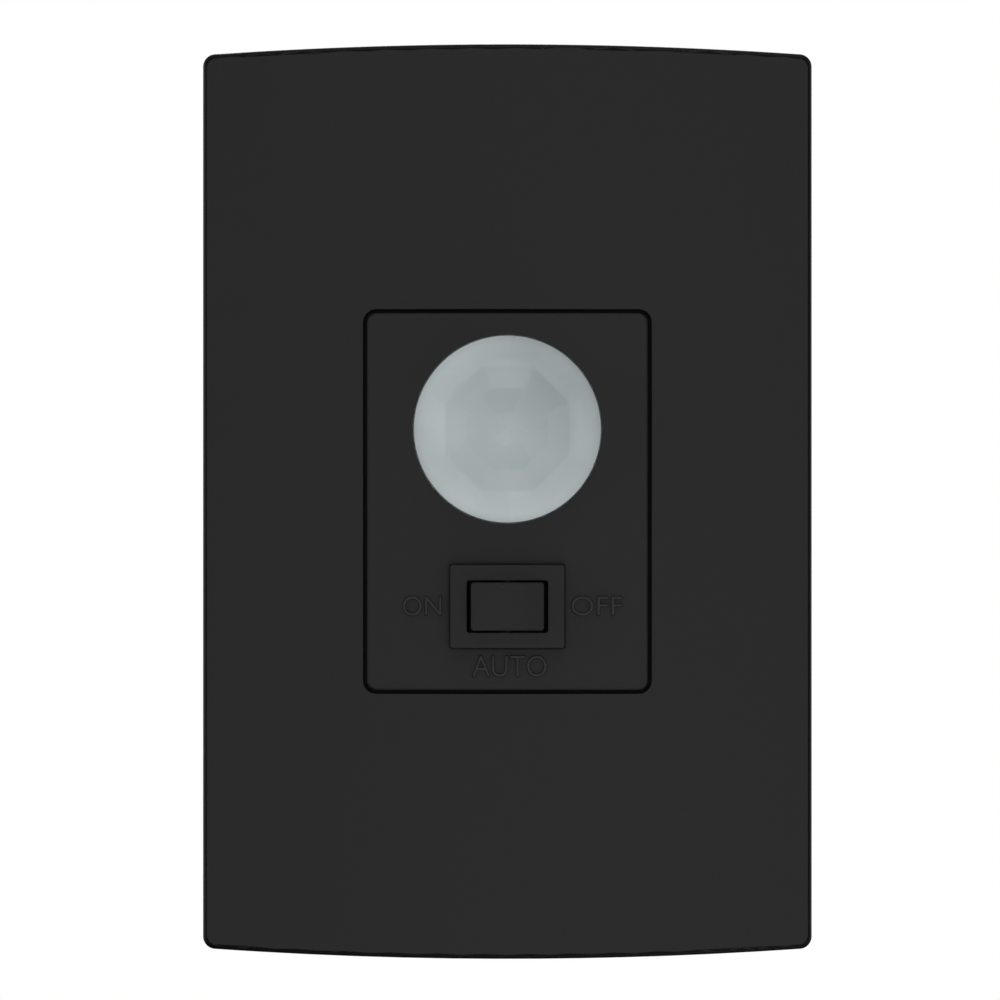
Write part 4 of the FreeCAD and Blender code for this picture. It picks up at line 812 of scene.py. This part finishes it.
def cell_point(ring, along, turn, radius):
    """Point of the dome between two ring lines, part of the way from the sphere to the cell's flat face."""
    inner, outer = ring_share(ring, turn), ring_share(ring + 1, turn)
    share = inner + (outer - inner) * along
    round_level = dome_level(share, radius)
    width = 2 * math.pi / ring_cells[ring]
    start = math.floor((turn - ring_turns[ring]) / width) * width + ring_turns[ring]
    across = (turn - start) / width
    levels = [dome_level(ring_share(edge, side), radius) for edge in (ring, ring + 1)
              for side in (start, start + width)]
    inner_level = levels[0] + (levels[1] - levels[0]) * across
    outer_level = levels[2] + (levels[3] - levels[2]) * across
    flat_level = inner_level + (outer_level - inner_level) * along
    edge_fade = min(1.0, (1.0 - share) / edge_fade_share)
    return Vector((lens_middle.x + share * lens_radius * math.cos(turn),
                   round_level + (flat_level - round_level) * flatness * edge_fade,
                   lens_middle.z + share * lens_radius * math.sin(turn)))


def circle(radius, y):
    """Ring of points about the lens axis."""
    return [Vector((lens_middle.x + radius * math.cos(2 * math.pi * n / columns), y,
                    lens_middle.z + radius * math.sin(2 * math.pi * n / columns))) for n in range(columns)]


inner_dome = dome_radius - lens_wall
inner_reach = lens_radius - 1.5 * lens_wall
rings = [[cell_point(ring, row / rows_per_ring, 2 * math.pi * n / columns, dome_radius)
          for n in range(columns)] for ring in range(4) for row in range(1, rows_per_ring + 1)]
rings += [circle(lens_radius, flange_front), circle(flange_radius, flange_front),
          circle(flange_radius, lens_high.y), circle(lens_radius - lens_wall, lens_high.y)]
inner_rows = 18
rings += [circle(inner_reach * row / inner_rows,
                 dome_level(inner_reach / lens_radius * row / inner_rows, inner_dome))
          for row in range(inner_rows, 0, -1)]
lens_form = bmesh.new()
lens_verts = [[lens_form.verts.new(point) for point in ring] for ring in rings]
outer_pole = lens_form.verts.new((lens_middle.x, dome_level(0, dome_radius), lens_middle.z))
inner_pole = lens_form.verts.new((lens_middle.x, dome_level(0, inner_dome), lens_middle.z))
for n in range(columns):
    m = (n + 1) % columns
    lens_form.faces.new((outer_pole, lens_verts[0][n], lens_verts[0][m]))
    lens_form.faces.new((inner_pole, lens_verts[-1][m], lens_verts[-1][n]))
    for a, b in zip(lens_verts, lens_verts[1:]):
        lens_form.faces.new((a[n], b[n], b[m], a[m]))
bmesh.ops.recalc_face_normals(lens_form, faces=lens_form.faces)
lens_mesh = bpy.data.meshes.new("lens_dome")
lens_form.to_mesh(lens_mesh)
lens_form.free()
lens_mesh.polygons.foreach_set("use_smooth", [True] * len(lens_mesh.polygons))
lens_mesh.set_sharp_from_angle(angle=math.radians(20))

# Each point's tone is the cell's own random tone plus painted light towards one side and the rim.
cell_tone_and_light = lens_mesh.attributes.new("cell_tone_and_light", "FLOAT", "POINT")
for vertex in lens_mesh.vertices:
    off_axis = Vector((vertex.co.x - lens_middle.x, vertex.co.z - lens_middle.z)) / lens_radius
    turn = math.atan2(off_axis.y, off_axis.x) % (2 * math.pi)
    ring = sum(off_axis.length > ring_share(edge, turn) - ring_line_share for edge in (1, 2, 3))
    cell = math.floor((turn - ring_turns[ring]) / (2 * math.pi / ring_cells[ring]))
    rim = min(1.0, max(0.0, (off_axis.length - rim_start) / (rim_full - rim_start)))
    uneven = math.sin(2.4 * cell + 1.7 * ring + 0.6)
    cell_tone_and_light.data[vertex.index].value = (ring_tones_and_light[ring] + painted_light_share * off_axis.dot(painted_light_side)
                                          + painted_rim_light * rim + tone_spread * uneven)

lens_polyethylene = bpy.data.materials.new("milky_polyethylene")
lens_polyethylene.use_nodes = True
lens_tree = lens_polyethylene.node_tree
lens_shader = lens_tree.nodes["Principled BSDF"]
for key, value in {"Roughness": 0.4, "IOR": 1.51, "Subsurface Weight": 0.15, "Subsurface Scale": 0.0006,
                   "Specular IOR Level": 0.3}.items():
    lens_shader.inputs[key].default_value = value
tone = add_node(lens_tree, "ShaderNodeAttribute", attribute_name="cell_tone_and_light")
lens_ramp = add_node(lens_tree, "ShaderNodeValToRGB", links={"Fac": tone.outputs["Fac"]})
lens_ramp.color_ramp.elements[0].color = linear("#979FA1")
lens_ramp.color_ramp.elements[1].color = linear("#DDE7E9")
lens_tree.links.new(lens_ramp.outputs["Color"], lens_shader.inputs["Base Color"])
lens_mesh.materials.append(lens_polyethylene)
lens = place("lens_dome", lens_mesh)
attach(lens, "sensor_base")
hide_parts("fresnel_lens")
finished("lens_retainer", "lens_clamp_ring", frame_nylon)


# Wall plate
# The crowned black ABS cover, with bowed ends and a small radius all round, snapped over the frame. Its
# face is grained, and its rounded edge, its skirt and the walls of its opening are darkened with painted
# shade.
# Inside it has low ribs against warping and the round marks of the pins that push it out of its tool.
cover_plate = finished("wall_plate", "cover_plate", black_abs)
opening_half_width, opening_half_height = 18.9 * mm, 25.2 * mm


def painted_shade_faces(face):
    """True for the plate's outer edge and skirt, and for the walls of its opening, which get painted shade.
    """
    x, z = abs(face.center.x), abs(face.center.z)
    outward = face.normal.x * face.center.x + face.normal.z * face.center.z > 0
    in_opening = x < opening_half_width + hair and z < opening_half_height + hair
    return abs(face.normal.y) < 0.3 if in_opening else face.normal.y > -0.985 and outward


# Painted shade: the plate's edge, skirt and opening walls get the darker black.
refinish(cover_plate, black_abs_painted_shade, painted_shade_faces)
smooth_crown(cover_plate)
plate_wall = 2.0 * mm
rib_root = 0.1 * mm
rib_form = bmesh.new()


def add_rib(z, x_from, x_to, height=0.9 * mm, thickness=0.8 * mm, steps=24):
    """Rib across the plate's inner side that follows its crown."""
    rows = []
    for n in range(steps + 1):
        x = x_from + (x_to - x_from) * n / steps
        root = crown_level(x, plate_wall) - rib_root
        rows.append([rib_form.verts.new((x, y, z + side * thickness / 2))
                     for y, side in ((root, -1), (root + height, -0.8), (root + height, 0.8), (root, 1))])
    for a, b in zip(rows, rows[1:]):
        for k in range(4):
            rib_form.faces.new((a[k], b[k], b[(k + 1) % 4], a[(k + 1) % 4]))
    rib_form.faces.new(rows[0][::-1])
    rib_form.faces.new(rows[-1])


rib_reach = 29.0 * mm
for z in (-51.0, -46.0, -34.5, 34.5, 46.0, 51.0):
    add_rib(z * mm, -rib_reach, rib_reach)
ejector_radius = 2.0 * mm
ejector_height = 0.3 * mm
ejector_places = [(x, z) for x, levels in ((26, (-20, 0, 20)), (18, (-40.5, 40.5))) for z in levels]
for x, z in [(side * x, z) for x, z in ejector_places for side in (-1, 1)]:
    middle_y = crown_level(x * mm, plate_wall) - rib_root + ejector_height / 2
    bmesh.ops.create_cone(rib_form, cap_ends=True, segments=28, radius1=ejector_radius,
                          radius2=ejector_radius, depth=ejector_height,
                          matrix=Matrix.Translation((x * mm, middle_y, z * mm)) @ z_to_front)
bmesh.ops.recalc_face_normals(rib_form, faces=rib_form.faces)
rib_mesh = bpy.data.meshes.new("plate_ribs")
rib_form.to_mesh(rib_mesh)
rib_form.free()
rib_mesh.materials.append(black_abs)
ribs = place("plate_ribs", rib_mesh)
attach(ribs, "wall_plate")
